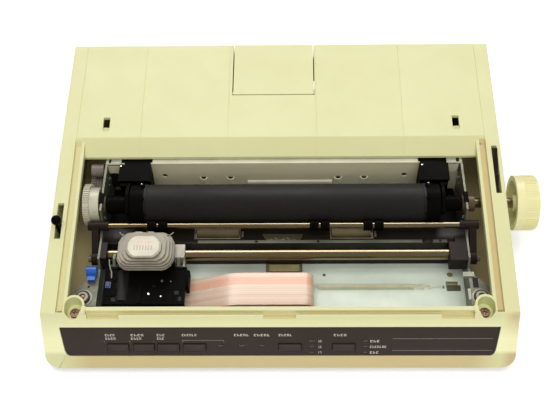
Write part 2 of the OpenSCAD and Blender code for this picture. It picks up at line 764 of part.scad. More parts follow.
module bail_arm(x, sleeve) {
    lean = atan2(bail_z - bail_pivot_z, bail_y - bail_pivot_y);
    reach = norm([bail_y - bail_pivot_y, bail_z - bail_pivot_z]);
    difference() {
        union() {
            rod_x(sleeve, bail_y, bail_z, 3.7);
            rod_x(x, bail_pivot_y, bail_pivot_z, 5.2);
            translate([x[0], bail_pivot_y, bail_pivot_z]) rotate([lean, 0, 0])
                translate([0, 0, -3]) cube([x[1] - x[0], reach, 6]);
        }
        rod_x([sleeve[0] - 1, sleeve[1] + 1], bail_y, bail_z, bail_r + fit);
        rod_x([x[0] - 1, x[1] + 1], bail_pivot_y, bail_pivot_z, bail_pivot_r + fit);
    }
}

module bail_arms() {
    color([0.3, 0.22, 0.18]) {
        bail_arm([left_frame_x - 6.5, left_frame_x - 1], [left_frame_x - 9.6, left_frame_x + 6.8]);
        bail_arm([right_frame_x + sheet + 1, right_frame_x + sheet + 6.5], [right_frame_x - 5.3, right_frame_x + 9.8]);
    }
}

module bail_roller(x) {
    color([0.13, 0.12, 0.12]) difference() {
        rod_x([x - 8, x + 8], bail_y, bail_z, bail_roller_r);
        rod_x([x - 9, x + 9], bail_y, bail_z, bail_r + fit);
    }
}

module left_bail_roller() { bail_roller(-98); }
module middle_bail_roller() { bail_roller(32.1); }
module right_bail_roller() { bail_roller(75.1); }

/* ---- carriage ---- */

module guide_shaft() {
    color([0.78, 0.74, 0.68]) rod_x([left_frame_x + 0.3, right_frame_x + sheet - 0.3], guide_y, guide_z, guide_r);
}

module shaft_brackets() {
    color([0.24, 0.18, 0.15]) difference() {
        union() {
            block([left_frame_x + sheet, left_frame_x + sheet + 5], [guide_y - 8, guide_y + 7.5], [24, 41]);
            block([bracket_x, right_frame_x], [guide_y - 10, guide_y + 7.5], [26, 40]);
            block([right_frame_x - 9, right_frame_x], [guide_y + 7.4, guide_y + 12.5], [37, 40]);
        }
        rod_x([left_frame_x, right_frame_x + 2], guide_y, guide_z, guide_r + fit);
    }
}

module carriage_body() {
    t = 1.8;
    color([0.09, 0.09, 0.1]) difference() {
        union() {
            difference() {
                block([box_x0, box_x1], [box_y0, box_y1], [box_rim_z, box_z]);
                block([box_x0 + t, motor_x + 15 - t], [box_y0 + t, box_y1 - t], [0, box_z - t]);
                block([motor_x + 15, box_x1 + 1], [box_y0 + t, box_y1 - t], [0, box_z - t]);
            }
            block([box_x1 - 0.1, box_x1 + 2.6], [box_y1 - 19, box_y1 - 3], [box_z - 9, box_z - 0.8]);
            block([motor_x + 13.2, motor_x + 16.4], [box_y0 + 1, box_y1 - 1], [box_z - 0.5, box_z + 1.2]);
            block([deck_x0, deck_x1], [box_y1 - 0.5, deck_y1], [guide_z - guide_r - 0.6, deck_z]);
            block([deck_x0, deck_x1], [box_y1 - 0.5, guide_y - guide_r - 1], [22, deck_z]);
        }
        rod_x([deck_x0 - 1, deck_x1 + 1], guide_y, guide_z, guide_r + 0.4);
        rod_y([box_y0 + 4, deck_y1 + 1], motor_x, motor_z, 2);
        rod_y([rack_y - 0.4, deck_y1 + 1], motor_x, motor_z, space_pinion_r + 0.4);
        rod_y([box_y0 + 3.5, box_y1 - t], motor_x, motor_z, 9.2);
        block([motor_x - 2, motor_x + 2], [box_y1, deck_y1 + 1], [0, motor_z]);
    }
}

module bearing_block() {
    color([0.74, 0.74, 0.74]) difference() {
        union() {
            block([deck_x1 + 0.01, deck_x1 + 8.5], [guide_y - 6.5, guide_y + 6], [guide_z - 6, guide_z + 6.2]);
            block([deck_x1 + 7, deck_x1 + 8.5], [box_y1 + 0.3, guide_y - 6], [guide_z - 6, guide_z + 1]);
        }
        rod_x([deck_x1 - 1, deck_x1 + 10], guide_y, guide_z, guide_r + fit);
    }
}

module print_head() {
    color([0.16, 0.16, 0.17]) translate([head_x, 0, 0]) {
        block([-11, 11], [head_y - 11, guide_y + 7], [deck_z, deck_z + 3.4]);
        block([-4, 4], [guide_y + 6.9, deck_y1 + 6], [deck_z, deck_z + 1.1]);
        along_x([-2, 2]) polygon([[deck_y1 + 0.3, deck_z - 3.2], [platen_y - platen_r - 0.3, deck_z - 2.6],
            [platen_y - platen_r - 0.3, deck_z + 0.6], [deck_y1 + 5, deck_z + 1.1], [deck_y1 + 0.3, deck_z + 1.1]]);
    }
}

module heat_sink() {
    color([0.72, 0.7, 0.66]) {
        for (i = [0 : fins - 1])
            translate([head_x, head_y - 0.11 * i * i + 0.3, deck_z + 3.4 + 2.6 * i])
                linear_extrude(1.4) chamfered(45 - 0.7 * i * i, 33 - 0.48 * i * i, 8 - 0.3 * i);
        translate([head_x, head_y, deck_z + 3.4]) linear_extrude(2.6 * (fins - 1) + 0.4) chamfered(22, 16, 4);
    }
}

module space_motor() {
    color([0.5, 0.5, 0.5]) {
        difference() {
            rod_y([box_y0 + 3.8, box_y1 - 3], motor_x, motor_z, 8.9);
            rod_y([box_y1 - 8, box_y1], motor_x, motor_z, 1.6);
        }
        block([motor_x - 6, motor_x + 6], [box_y0 + 6, box_y0 + 9], [motor_z, box_z - 1.9]);
    }
}

module space_pinion() {
    color([0.7, 0.66, 0.5]) {
        rod_y([box_y1 - 7.8, rack_y + 0.2], motor_x, motor_z, 1.5);
        translate([motor_x, rack_y, motor_z]) rotate([-90, 0, 0]) toothed(space_pinion_r, 0.9, 16, rack_w);
    }
}

module space_rack() {
    color([0.35, 0.28, 0.22]) {
        block([left_frame_x + sheet, right_frame_x], [rack_y, rack_y + rack_w], [floor_z, rack_top_z - 1]);
        for (i = [0 : floor((right_frame_x - left_frame_x - 12) / 1.9)])
            translate([left_frame_x + 7 + i * 1.9, rack_y, rack_top_z - 1.1]) cube([1, rack_w, 1.1]);
    }
}

module cable_side() {
    top = cable_low_z + 2 * cable_bend_r;
    exit_z = cable_low_z + 1.2;
    ramp = box_x1 + 25;
    crest = ramp + 32;
    polygon([[box_x1 - 14, exit_z], [ramp, exit_z], [crest, top - cable_t], [cable_bend_x, top - cable_t],
        [cable_bend_x, top], [crest - 0.2, top], [ramp - 0.2, exit_z + cable_t], [box_x1 - 14, exit_z + cable_t]]);
    translate([crest + 8, cable_low_z]) square([cable_bend_x - crest - 8, cable_t]);
    intersection() {
        translate([cable_bend_x, cable_low_z]) square([cable_bend_r * 2, cable_bend_r * 2]);
        translate([cable_bend_x, cable_low_z + cable_bend_r]) difference() {
            circle(r = cable_bend_r);
            circle(r = cable_bend_r - cable_t);
        }
    }
}

module flat_cable() {
    color([0.93, 0.72, 0.64]) translate([0, cable_y0 + cable_w, 0]) rotate([90, 0, 0])
        linear_extrude(cable_w) cable_side();
}

module cable_clamps() {
    color([0.88, 0.84, 0.7]) {
        block([cable_bend_x - 30, cable_bend_x - 24], [cable_y0 - 1, cable_y0 + cable_w + 1], [floor_z, cable_low_z - 0.05]);
        block([-9, 16], [front_y + 85.5, front_y + 92], [tray_z, floor_z]);
    }
}

/* ---- levers and small parts ---- */

module gap_lever() {
    color([0.1, 0.1, 0.1]) difference() {
        translate([gap_lever_x, gap_pivot_y, gap_pivot_z]) rotate([gap_lean, 0, 0]) {
            rod_x([-1.5, 1.5], 0, 0, 6);
            block([-1.5, 1.5], [-2.5, 2.5], [0, 39]);
            translate([0, 0, 41.5]) sphere(r = 3.9);
        }
        rod_x([gap_lever_x - 5, gap_lever_x + 5], gap_pivot_y, gap_pivot_z, gap_stud_r + fit);
    }
}

module release_lever() {
    color([0.22, 0.15, 0.11]) difference() {
        translate([release_x, platen_y, platen_z]) rotate([release_lean - 90, 0, 0]) {
            rod_x([-1.6, 1.6], 0, 0, 7);
            block([-1.6, 1.6], [-3, 3], [0, release_reach]);
            along_x([-1.6, 1.6]) polygon([[0, 0], [0, 24], [-6, 23], [-5, 13], [-12, 7], [-13.5, 0], [-4, -4]]);
        }
        rod_x([release_x - 5, release_x + 5], platen_y, platen_z, shaft_r + fit);
    }
}

module grommets() {
    color([0.14, 0.13, 0.13]) for (side = [-1, 1]) translate([grommet_x(side), front_y + 47.9, 0]) {
        difference() {
            union() {
                post(0, 0, [28.5, 31.6], 5.8);
                post(0, 0, [28.5, 35.2], 4.1);
                post(0, 0, [33.2, 35.2], 5.8);
            }
            post(0, 0, [27, 36], 2.4);
        }
    }
}

module floor_spring() {
    y = front_y + 69.2;
    z = floor_z + 2.2;
    color([0.75, 0.75, 0.72]) {
        difference() {
            rod_x([cable_bend_x + 10, right_frame_x - 34], y, z, 1.9);
            rod_x([cable_bend_x + 9, right_frame_x - 33], y, z, 1.3);
        }
        for (x = [cable_bend_x + 10, right_frame_x - 35]) rod_x([x, x + 1], y, z, 1.85);
        rod_x([cable_bend_x + 3, cable_bend_x + 10.5], y, z, 0.6);
        rod_x([right_frame_x - 34.5, right_frame_x - 17], y, z, 0.6);
        for (x = [cable_bend_x + 3.5, right_frame_x - 17]) post(x, y, [floor_z, z + 0.5], 0.8);
    }
}

module home_sensor() {
    color([0.1, 0.35, 0.75]) {
        rod_x([left_frame_x - 8, left_frame_x - 0.01], front_y + 70, 37, 4);
        block([left_frame_x - 7, left_frame_x - 1], [front_y + 62, front_y + 70], [33, 37]);
    }
}

module main_board() {
    color([0.2, 0.38, 0.22]) {
        block([-150, 60], [rear_y - 92, rear_y - 8.5], [board_z, board_z + 1.6]);
        for (i = [0 : 4]) block([-140 + 26 * i, -122 + 26 * i], [rear_y - 70, rear_y - 60], [board_z + 1.5, board_z + 5]);
        block([-120, -70], [rear_y - 45, rear_y - 30], [board_z + 1.5, board_z + 6]);
        for (x = [20, 40]) post(x, rear_y - 75, [board_z + 1.5, board_z + 22], 7);
    }
}

module interface_connector() {
    color([0.2, 0.2, 0.22]) difference() {
        block([-30, 28], [rear_y - 20, rear_y - 0.6], [board_z + 1.6, 34.5]);
        block([-24, 22], [rear_y - 8, rear_y + 1], [24, 32.5]);
        block([-31, 29], [rear_y - 2 * wall - 0.8, rear_y], [0, seam_z + 2.3]);
    }
}

module transformer() {
    color([0.3, 0.3, 0.32]) {
        block([90, 145], [rear_y - 84, rear_y - 32], [board_z, board_z + 36]);
        block([97, 138], [rear_y - 90, rear_y - 26], [board_z + 8, board_z + 28]);
    }
}

module power_inlet() {
    color([0.1, 0.1, 0.1]) {
        difference() {
            block([inlet_x - 14, inlet_x + 14], [rear_y - 22, rear_y - 0.4], [inlet_z - 10, inlet_z + 10]);
            block([inlet_x - 11, inlet_x + 11], [rear_y - 17, rear_y + 1], [inlet_z - 7, inlet_z + 7]);
        }
        for (p = [[-6, -1.5], [0, 2.5], [6, -1.5]])
            block([inlet_x + p[0] - 1, inlet_x + p[0] + 1], [rear_y - 18, rear_y - 4],
                [inlet_z + p[1] - 2, inlet_z + p[1] + 2]);
        for (x = [-1, 1])
            block([inlet_x + 14 * x - 2, inlet_x + 14 * x + 2], [rear_y - 6, rear_y - wall - gap],
                [inlet_z - 10, inlet_z + 10]);
    }
}

module power_switch() {
    color([0.12, 0.12, 0.12]) difference() {
        union() {
            block([hw - 20, hw + 0.5], [switch_y - 10, switch_y + 10], [switch_z - 7, switch_z + 7]);
            block([hw + 0.01, hw + 1.2], [switch_y - 12, switch_y + 12], [switch_z - 9, switch_z + 9]);
        }
        block([hw - 12, hw + 5], [switch_y - 7, switch_y + 7], [switch_z - 5.6, switch_z + 5.6]);
        rod_y([switch_y - 8.5, switch_y + 8.5], hw - 3, switch_z, 1.2 + fit);
    }
}

module power_rocker() {
    color([0.75, 0.13, 0.1]) {
        translate([hw - 3, switch_y + 6.6, switch_z]) rotate([90, 0, 0]) rotate([0, 0, -8])
            linear_extrude(13.2) polygon([[-3.5, -2], [-3.5, 2], [2.6, 4.9], [3.2, 0], [2.6, -4.9]]);
        rod_y([switch_y - 8.3, switch_y + 8.3], hw - 3, switch_z, 1.2);
    }
}

at_case() lower_case();
at_case() upper_case();
at_case() rubber_feet();
at_case() case_screws();
at_case() rear_hatch();
at_case() control_panel();
at_case() panel_board();
at_case() indicator_lamps();
at_case() key_line_feed();
at_case() key_form_feed();
at_case() key_top_of_form();
at_case() key_select();
at_case() key_pitch();
at_case() key_mode();
at_case() base_plate();
at_case() left_side_frame();
at_case() right_side_frame();
at_case() back_plate();
at_case() left_paper_guide();
at_case() right_paper_guide();
at_case() front_paper_guide();
at_case() shaft_bushes();
at_case() platen_roller();
at_case() platen_shaft();
at_case() left_pin_wheel();
at_case() right_pin_wheel();
at_case() platen_gear();
at_case() feed_knob();
at_case() idler_gear();
at_case() feed_motor();
at_case() feed_pinion();
at_case() left_pressure_roller();
at_case() right_pressure_roller();
at_case() bail_rod();
at_case() bail_arms();
at_case() left_bail_roller();
at_case() middle_bail_roller();
at_case() right_bail_roller();
at_case() guide_shaft();
at_case() shaft_brackets();
at_case() carriage_body();
at_case() bearing_block();
at_case() print_head();
at_case() heat_sink();
at_case() space_motor();
at_case() space_pinion();
at_case() space_rack();
at_case() flat_cable();
at_case() cable_clamps();
at_case() gap_lever();
at_case() release_lever();
at_case() grommets();
at_case() floor_spring();
at_case() home_sensor();
at_case() main_board();
at_case() interface_connector();
at_case() transformer();
at_case() power_inlet();
at_case() power_switch();
at_case() power_rocker();
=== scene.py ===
import math
import bmesh
import bpy
from mathutils import Matrix, Vector


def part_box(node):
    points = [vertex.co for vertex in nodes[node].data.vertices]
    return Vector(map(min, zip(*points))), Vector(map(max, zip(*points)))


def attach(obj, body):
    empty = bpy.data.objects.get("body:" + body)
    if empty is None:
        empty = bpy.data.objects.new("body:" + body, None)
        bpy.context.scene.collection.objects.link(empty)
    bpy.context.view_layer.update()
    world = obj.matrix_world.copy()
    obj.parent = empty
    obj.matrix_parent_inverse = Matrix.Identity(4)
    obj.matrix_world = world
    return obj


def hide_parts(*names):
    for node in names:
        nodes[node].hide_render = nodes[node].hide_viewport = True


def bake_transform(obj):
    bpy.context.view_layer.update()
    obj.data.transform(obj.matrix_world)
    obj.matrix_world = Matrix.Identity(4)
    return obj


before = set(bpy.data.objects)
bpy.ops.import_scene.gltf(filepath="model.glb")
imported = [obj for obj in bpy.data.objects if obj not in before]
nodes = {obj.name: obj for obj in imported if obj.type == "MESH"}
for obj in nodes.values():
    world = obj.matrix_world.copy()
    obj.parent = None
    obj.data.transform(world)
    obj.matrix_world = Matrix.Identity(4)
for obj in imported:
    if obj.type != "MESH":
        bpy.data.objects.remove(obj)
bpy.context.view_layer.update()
scene = bpy.context.scene
mm = 0.001
caseMid = sum(place.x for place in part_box("upper_case")) / 2 / mm  # the knob pushes the case to the left
print("frame loaded", len(nodes), "nodes")


# measures taken from the frame, in millimetres from the middle of the case

def boxCorner(node, which):
    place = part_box(node)[which] / mm
    return Vector((place.x - caseMid, place.y, place.z))


def low(node):
    return boxCorner(node, 0)


def high(node):
    return boxCorner(node, 1)


def middle(node):
    return (low(node) + high(node)) / 2


# colours and materials

def tone(red, green, blue):
    def linear(value):
        share = value / 255
        return share / 12.92 if share <= 0.04045 else ((share + 0.055) / 1.055) ** 2.4
    return (linear(red), linear(green), linear(blue), 1)


def addNode(tree, kind, inputs=None, **settings):
    # inputs: a value or another node's socket for each input, by name or number
    node = tree.nodes.new(kind)
    for name, value in settings.items():
        setattr(node, name, value)
    for key, value in (inputs or {}).items():
        if isinstance(value, bpy.types.NodeSocket):
            tree.links.new(value, node.inputs[key])
        else:
            node.inputs[key].default_value = value
    return node


def mixed(tree, factor, first, second):
    return addNode(tree, "ShaderNodeMix", {0: factor, 6: first, 7: second}, data_type="RGBA").outputs[2]


def times(tree, first, second):
    return addNode(tree, "ShaderNodeMath", {0: first, 1: second}, operation="MULTIPLY").outputs[0]


def spread(tree, value, given, wanted=(0.0, 1.0)):
    # maps the given range to the wanted one
    return addNode(tree, "ShaderNodeMapRange",
                   {"Value": value, "From Min": given[0], "From Max": given[1], "To Min": wanted[0],
                    "To Max": wanted[1]}).outputs["Result"]


def objectPoint(tree):
    return tree.nodes.new("ShaderNodeTexCoord").outputs["Object"]


def splitPoint(tree, vector):
    return addNode(tree, "ShaderNodeSeparateXYZ", {"Vector": vector}).outputs


def mottle(tree, point, scale, detail=3.0, roughness=0.5):
    return addNode(tree, "ShaderNodeTexNoise",
                   {"Vector": point, "Scale": scale, "Detail": detail, "Roughness": roughness}).outputs["Fac"]


def evenLines(tree, point, axis, pitch):
    # bands across one axis, pitch in millimetres; a wave of scale 1 repeats every 2 pi / 20
    return addNode(tree, "ShaderNodeTexWave", {"Vector": point, "Scale": 2 * math.pi / 20 / (pitch * mm)},
                   wave_type="BANDS", bands_direction=axis).outputs["Fac"]


maskLook = {"samples": 4, "edgeTurn": (0.995, 0.85), "upTurn": (0.3, 1.0)}


def rimMask(tree, radius, strength):
    # 0 on flat faces, up to the strength along outer edges
    soft = addNode(tree, "ShaderNodeBevel", {"Radius": radius}, samples=maskLook["samples"]).outputs["Normal"]
    flat = tree.nodes.new("ShaderNodeNewGeometry").outputs["Normal"]
    along = addNode(tree, "ShaderNodeVectorMath", {0: soft, 1: flat}, operation="DOT_PRODUCT")
    return spread(tree, along.outputs["Value"], maskLook["edgeTurn"], (0.0, strength))


def lookingUp(tree):
    # 0 on walls, 1 on faces that look straight up
    normal = tree.nodes.new("ShaderNodeNewGeometry").outputs["Normal"]
    return spread(tree, splitPoint(tree, normal)["Z"], maskLook["upTurn"])


# what a surface has where its own dictionary says nothing; a larger scale means smaller marks, a range is the
# part of the noise over which a mark grows to its full share, and wearWidth and grainDepth are in millimetres
plainLook = {
    "stretch": (1, 1, 1), "patchScale": 18, "patchRange": (0.35, 0.7),
    "speckScale": 900, "speckRange": (0.6, 0.72), "speckShare": 0.5,
    "wearScale": 120, "wearRange": (0.35, 0.6), "wearBreaks": (0.3, 1.0), "wearWidth": 0.6, "wearShare": 0.6,
    "dustScale": 60, "dustRange": (0.45, 0.75), "dustShare": 0.35,
    "smearScale": 45, "smearRange": (0.3, 0.7), "roughSpread": 0.05,
    "metal": 0.0, "gloss": 0.5, "coat": 0.0, "coatRough": 0.1,
    "grain": 0.15, "grainScale": 1500, "grainDepth": 0.05}


def makeSurface(name, ownLook):
    look = {**plainLook, **ownLook}
    mat = bpy.data.materials.new(name)
    mat.use_nodes = True
    tree = mat.node_tree
    shader = tree.nodes["Principled BSDF"]
    stretched = addNode(tree, "ShaderNodeMapping", {"Vector": objectPoint(tree), "Scale": look["stretch"]})
    point = stretched.outputs["Vector"]

    patches = mottle(tree, point, look["patchScale"], detail=4.0, roughness=0.6)
    colour = mixed(tree, spread(tree, patches, look["patchRange"]), look["colour"], look["patch"])
    if "speck" in look:
        specks = mottle(tree, point, look["speckScale"], detail=2.0)
        dotted = spread(tree, specks, look["speckRange"], (0.0, look["speckShare"]))
        colour = mixed(tree, dotted, colour, look["speck"])
    if "wear" in look:
        broken = spread(tree, mottle(tree, point, look["wearScale"]), look["wearRange"], look["wearBreaks"])
        rubbed = times(tree, rimMask(tree, look["wearWidth"] * mm, look["wearShare"]), broken)
        colour = mixed(tree, rubbed, colour, look["wear"])
    if "dust" in look:
        drifts = mottle(tree, point, look["dustScale"], detail=5.0, roughness=0.7)
        settled = spread(tree, drifts, look["dustRange"], (0.0, look["dustShare"]))
        colour = mixed(tree, times(tree, lookingUp(tree), settled), colour, look["dust"])
    smears = mottle(tree, point, look["smearScale"], detail=5.0, roughness=0.65)
    roughEnds = (look["rough"] - look["roughSpread"], look["rough"] + look["roughSpread"])
    grain = mottle(tree, point, look["grainScale"], detail=2.0)
    bump = addNode(tree, "ShaderNodeBump",
                   {"Height": grain, "Strength": look["grain"], "Distance": look["grainDepth"] * mm})

    for inputName, socket in (("Base Color", colour), ("Normal", bump.outputs["Normal"]),
                              ("Roughness", spread(tree, smears, look["smearRange"], roughEnds))):
        tree.links.new(socket, shader.inputs[inputName])
    for inputName, key in (("Metallic", "metal"), ("Specular IOR Level", "gloss"), ("Coat Weight", "coat"),
                           ("Coat Roughness", "coatRough")):
        shader.inputs[inputName].default_value = look[key]
    return mat


def addRidges(mat, axis, pitch, depth, strength):
    # a second bump of even lines across one axis, laid over the first
    tree = mat.node_tree
    normal = tree.nodes["Principled BSDF"].inputs["Normal"]
    before = normal.links[0].from_socket
    lines = evenLines(tree, objectPoint(tree), axis, pitch)
    bump = addNode(tree, "ShaderNodeBump",
                   {"Height": lines, "Strength": strength, "Distance": depth * mm, "Normal": before})
    tree.links.new(bump.outputs["Normal"], normal)


# painted shade and light on the shell: darker tan where shade falls in the cover's seat, on the slope and in
# the trough of the opening, under the panel and at the right front corner, and lighter on the face above the
# panel; each reach is start, end and blur in millimetres, each strength from 0 to 1
shellShadeLook = {
    "shadeTone": tone(204, 184, 134), "lightTone": tone(251, 251, 202),
    # painted shade where the cover rests, stronger at the right than at the left
    "seatAcross": (163.7, 168.4, 0.2), "seatAlong": (-112, 39, 0.8), "seatRight": 0.95, "seatLeft": 0.4,
    # painted shade behind the opening, and in the trough along its front
    "slopeAlong": (28, 40.6, 0.6), "slopeAcross": (-1, 164, 0.5), "slope": 0.12,
    "lipAlong": (-113.2, -110.5, 0.2), "lipAcross": (-1, 147, 0.4), "lip": 0.75,
    # painted shade under the panel, and at the right front corner
    "chinAlong": (-150, -122, 6.0), "chinHeight": (-9, 18.5, 1.2), "chinAcross": (-20, 158, 12), "chin": 0.8,
    "cornerAlong": (-150, -113, 1.5), "cornerAcross": (172, 200, 4), "corner": 0.9,
    # painted light: the lighter face above and beside the panel
    "faceAlong": (-160, -119, 5.0), "faceHeight": (20, 70, 1.5), "face": 0.9}


# paints shade into the shell's recesses and light onto its face above the panel, by place on the shell
def shadeShell(mat):
    look = shellShadeLook
    tree = mat.node_tree
    base = tree.nodes["Principled BSDF"].inputs["Base Color"]
    parts = splitPoint(tree, objectPoint(tree))
    along, height = parts["Y"], parts["Z"]
    offMiddle = addNode(tree, "ShaderNodeMath", {0: parts["X"], 1: -caseMid * mm}, operation="ADD").outputs[0]
    across = addNode(tree, "ShaderNodeMath", {0: offMiddle}, operation="ABSOLUTE").outputs[0]

    def band(value, reach, strength=1.0):
        start, end, blur = reach
        rising = spread(tree, value, ((start - blur) * mm, (start + blur) * mm), (0.0, strength))
        return times(tree, rising, spread(tree, value, ((end - blur) * mm, (end + blur) * mm), (1.0, 0.0)))

    start, end, blur = look["seatAcross"]
    seatLength = band(along, look["seatAlong"])
    chin = times(tree, band(along, look["chinAlong"], look["chin"]), band(height, look["chinHeight"]))
    marks = (
        times(tree, band(offMiddle, look["seatAcross"], look["seatRight"]), seatLength),
        times(tree, band(offMiddle, (-end, -start, blur), look["seatLeft"]), seatLength),
        times(tree, band(along, look["slopeAlong"], look["slope"]), band(across, look["slopeAcross"])),
        times(tree, band(along, look["lipAlong"], look["lip"]), band(across, look["lipAcross"])),
        times(tree, chin, band(across, look["chinAcross"])),
        times(tree, band(along, look["cornerAlong"], look["corner"]), band(offMiddle, look["cornerAcross"])))
    colour = base.links[0].from_socket
    # each mark is painted shade: it darkens the shell towards the shade tone
    for mark in marks:
        colour = mixed(tree, mark, colour, look["shadeTone"])
    # painted light: the face above and beside the panel is lightened
    litFace = times(tree, band(along, look["faceAlong"]), band(height, look["faceHeight"], look["face"]))
    tree.links.new(mixed(tree, litFace, colour, look["lightTone"]), base)


caseLook = {
    "colour": tone(224, 225, 175), "patch": tone(220, 219, 168), "patchScale": 7,
    "wear": tone(238, 238, 200), "wearShare": 0.35, "wearWidth": 0.9, "speck": tone(212, 207, 158),
    "speckScale": 2600, "speckShare": 0.18, "rough": 0.46, "gloss": 0.3, "grain": 0.22, "grainScale": 2600,
    "dust": tone(214, 209, 162), "dustShare": 0.2}
caseBeige = makeSurface("caseBeige", caseLook)
# the shell's own copy of the case colour, which shadeShell overlays with painted shade and light
shellBeige = makeSurface("shellBeige", caseLook)
shadeShell(shellBeige)
trayBeige = makeSurface("trayBeige", {
    "colour": tone(198, 184, 136), "patch": tone(186, 170, 122), "patchScale": 9,
    "speck": tone(170, 156, 112), "speckScale": 2400, "speckShare": 0.2, "rough": 0.5, "grain": 0.25,
    "grainScale": 2400})
knobBeige = makeSurface("knobBeige", {
    "colour": tone(240, 236, 184), "patch": tone(234, 227, 174), "patchScale": 20,
    "wear": tone(248, 243, 206), "wearShare": 0.5, "wearWidth": 0.4, "rough": 0.4, "grain": 0.15,
    "grainScale": 2600})
panelFilm = makeSurface("panelFilm", {
    "colour": tone(46, 34, 25), "patch": tone(40, 29, 21), "patchScale": 30, "rough": 0.38,
    "roughSpread": 0.08, "grain": 0.3, "grainScale": 3500, "wear": tone(74, 58, 45), "wearShare": 0.3,
    "wearWidth": 0.3, "dust": tone(84, 74, 62), "dustShare": 0.12})
keyCap = makeSurface("keyCap", {
    "colour": tone(50, 40, 32), "patch": tone(44, 34, 27), "patchScale": 60, "wear": tone(112, 98, 82),
    "wearShare": 0.55, "wearWidth": 0.35, "rough": 0.42, "roughSpread": 0.08, "grain": 0.3,
    "grainScale": 2800})
lampLens = makeSurface("lampLens", {
    "colour": tone(86, 84, 64), "patch": tone(74, 70, 52), "rough": 0.28, "coat": 0.6, "grain": 0.1})
whitePrint = makeSurface("whitePrint", {
    "colour": tone(212, 206, 192), "patch": tone(180, 172, 156), "patchScale": 400, "rough": 0.6,
    "grain": 0.1})
greyPrint = makeSurface("greyPrint", {
    "colour": tone(150, 144, 132), "patch": tone(118, 112, 100), "patchScale": 300, "rough": 0.6,
    "grain": 0.1})
zincFloor = makeSurface("zincFloor", {
    "colour": tone(236, 246, 234), "patch": tone(220, 234, 222), "patchScale": 22,
    "speck": tone(244, 250, 242), "speckScale": 300, "speckShare": 0.4, "metal": 0.05, "rough": 0.46,
    "roughSpread": 0.12, "grain": 0.12, "grainScale": 700, "wear": tone(246, 250, 244), "wearShare": 0.7,
    "wearWidth": 0.4, "dust": tone(206, 212, 192), "dustShare": 0.2})
zincFrame = makeSurface("zincFrame", {
    "colour": tone(112, 112, 96), "patch": tone(90, 91, 76), "patchScale": 40, "speck": tone(142, 143, 126),
    "speckScale": 500, "speckShare": 0.4, "metal": 0.3, "rough": 0.42, "roughSpread": 0.12, "grain": 0.12,
    "grainScale": 700, "wear": tone(196, 194, 176), "wearShare": 0.6, "wearWidth": 0.4})
plateOlive = makeSurface("plateOlive", {
    "colour": tone(226, 219, 184), "patch": tone(204, 200, 170), "patchScale": 16, "stretch": (0.3, 1, 1.6),
    "metal": 0.05, "rough": 0.42, "roughSpread": 0.14, "grain": 0.15, "grainScale": 900,
    "wear": tone(250, 248, 232), "wearShare": 0.9, "wearWidth": 0.6})
shaftSteel = makeSurface("shaftSteel", {
    "colour": tone(162, 148, 122), "patch": tone(136, 118, 88), "patchScale": 12, "stretch": (0.4, 3, 3),
    "metal": 1.0, "rough": 0.24, "roughSpread": 0.04, "grain": 0.05, "grainScale": 900, "smearScale": 80})
platenRubber = makeSurface("platenRubber", {
    "colour": tone(34, 32, 31), "patch": tone(27, 25, 24), "patchScale": 30, "stretch": (0.25, 1, 1),
    "speck": tone(60, 56, 52), "speckScale": 1400, "speckShare": 0.16, "rough": 0.55, "roughSpread": 0.09,
    "grain": 0.3, "grainScale": 1800, "gloss": 0.2})
addRidges(platenRubber, "X", pitch=1.27, depth=0.10, strength=0.5)
blackMoulding = makeSurface("blackMoulding", {
    "colour": tone(12, 10, 9), "patch": tone(9, 8, 7), "patchScale": 40, "wear": tone(48, 44, 40),
    "wearShare": 0.3, "wearWidth": 0.3, "rough": 0.42, "roughSpread": 0.1, "grain": 0.25,
    "grainScale": 1800, "gloss": 0.02, "dust": tone(30, 26, 22), "dustShare": 0.06})
brownMoulding = makeSurface("brownMoulding", {
    "colour": tone(38, 29, 27), "patch": tone(30, 23, 21), "patchScale": 30, "wear": tone(84, 72, 62),
    "wearShare": 0.35, "wearWidth": 0.4, "rough": 0.48, "grain": 0.22, "grainScale": 1800, "gloss": 0.15})
darkGuide = makeSurface("darkGuide", {
    "colour": tone(32, 27, 22), "patch": tone(25, 21, 17), "patchScale": 25, "wear": tone(104, 92, 72),
    "wearShare": 0.5, "wearWidth": 0.3, "rough": 0.38, "roughSpread": 0.1, "grain": 0.2, "grainScale": 1400,
    "gloss": 0.18, "dust": tone(66, 58, 45), "dustShare": 0.14})
rollerBrown = makeSurface("rollerBrown", {
    "colour": tone(124, 112, 82), "patch": tone(98, 87, 62), "patchScale": 60, "rough": 0.42, "grain": 0.3,
    "grainScale": 1200, "stretch": (0.3, 1, 1)})
whiteAcetal = makeSurface("whiteAcetal", {
    "colour": tone(198, 196, 176), "patch": tone(184, 180, 160), "patchScale": 50, "rough": 0.35,
    "grain": 0.15, "speck": tone(150, 144, 128), "speckScale": 300, "speckShare": 0.25,
    "wear": tone(228, 228, 218)})
greyAcetal = makeSurface("greyAcetal", {
    "colour": tone(138, 126, 120), "patch": tone(112, 100, 94), "patchScale": 60, "rough": 0.4,
    "grain": 0.2, "wear": tone(190, 180, 172), "wearShare": 0.6, "wearWidth": 0.3})
tanBush = makeSurface("tanBush", {
    "colour": tone(92, 76, 54), "patch": tone(72, 58, 40), "patchScale": 50, "rough": 0.42, "grain": 0.2})
finSilver = makeSurface("finSilver", {
    "colour": tone(158, 151, 136), "patch": tone(138, 131, 117), "patchScale": 70,
    "speck": tone(184, 178, 164), "speckScale": 1100, "speckShare": 0.3, "metal": 0.05, "rough": 0.42,
    "roughSpread": 0.1, "gloss": 0.3, "grain": 0.3, "grainScale": 1500, "wear": tone(244, 240, 230),
    "wearShare": 1.0, "wearWidth": 0.45})
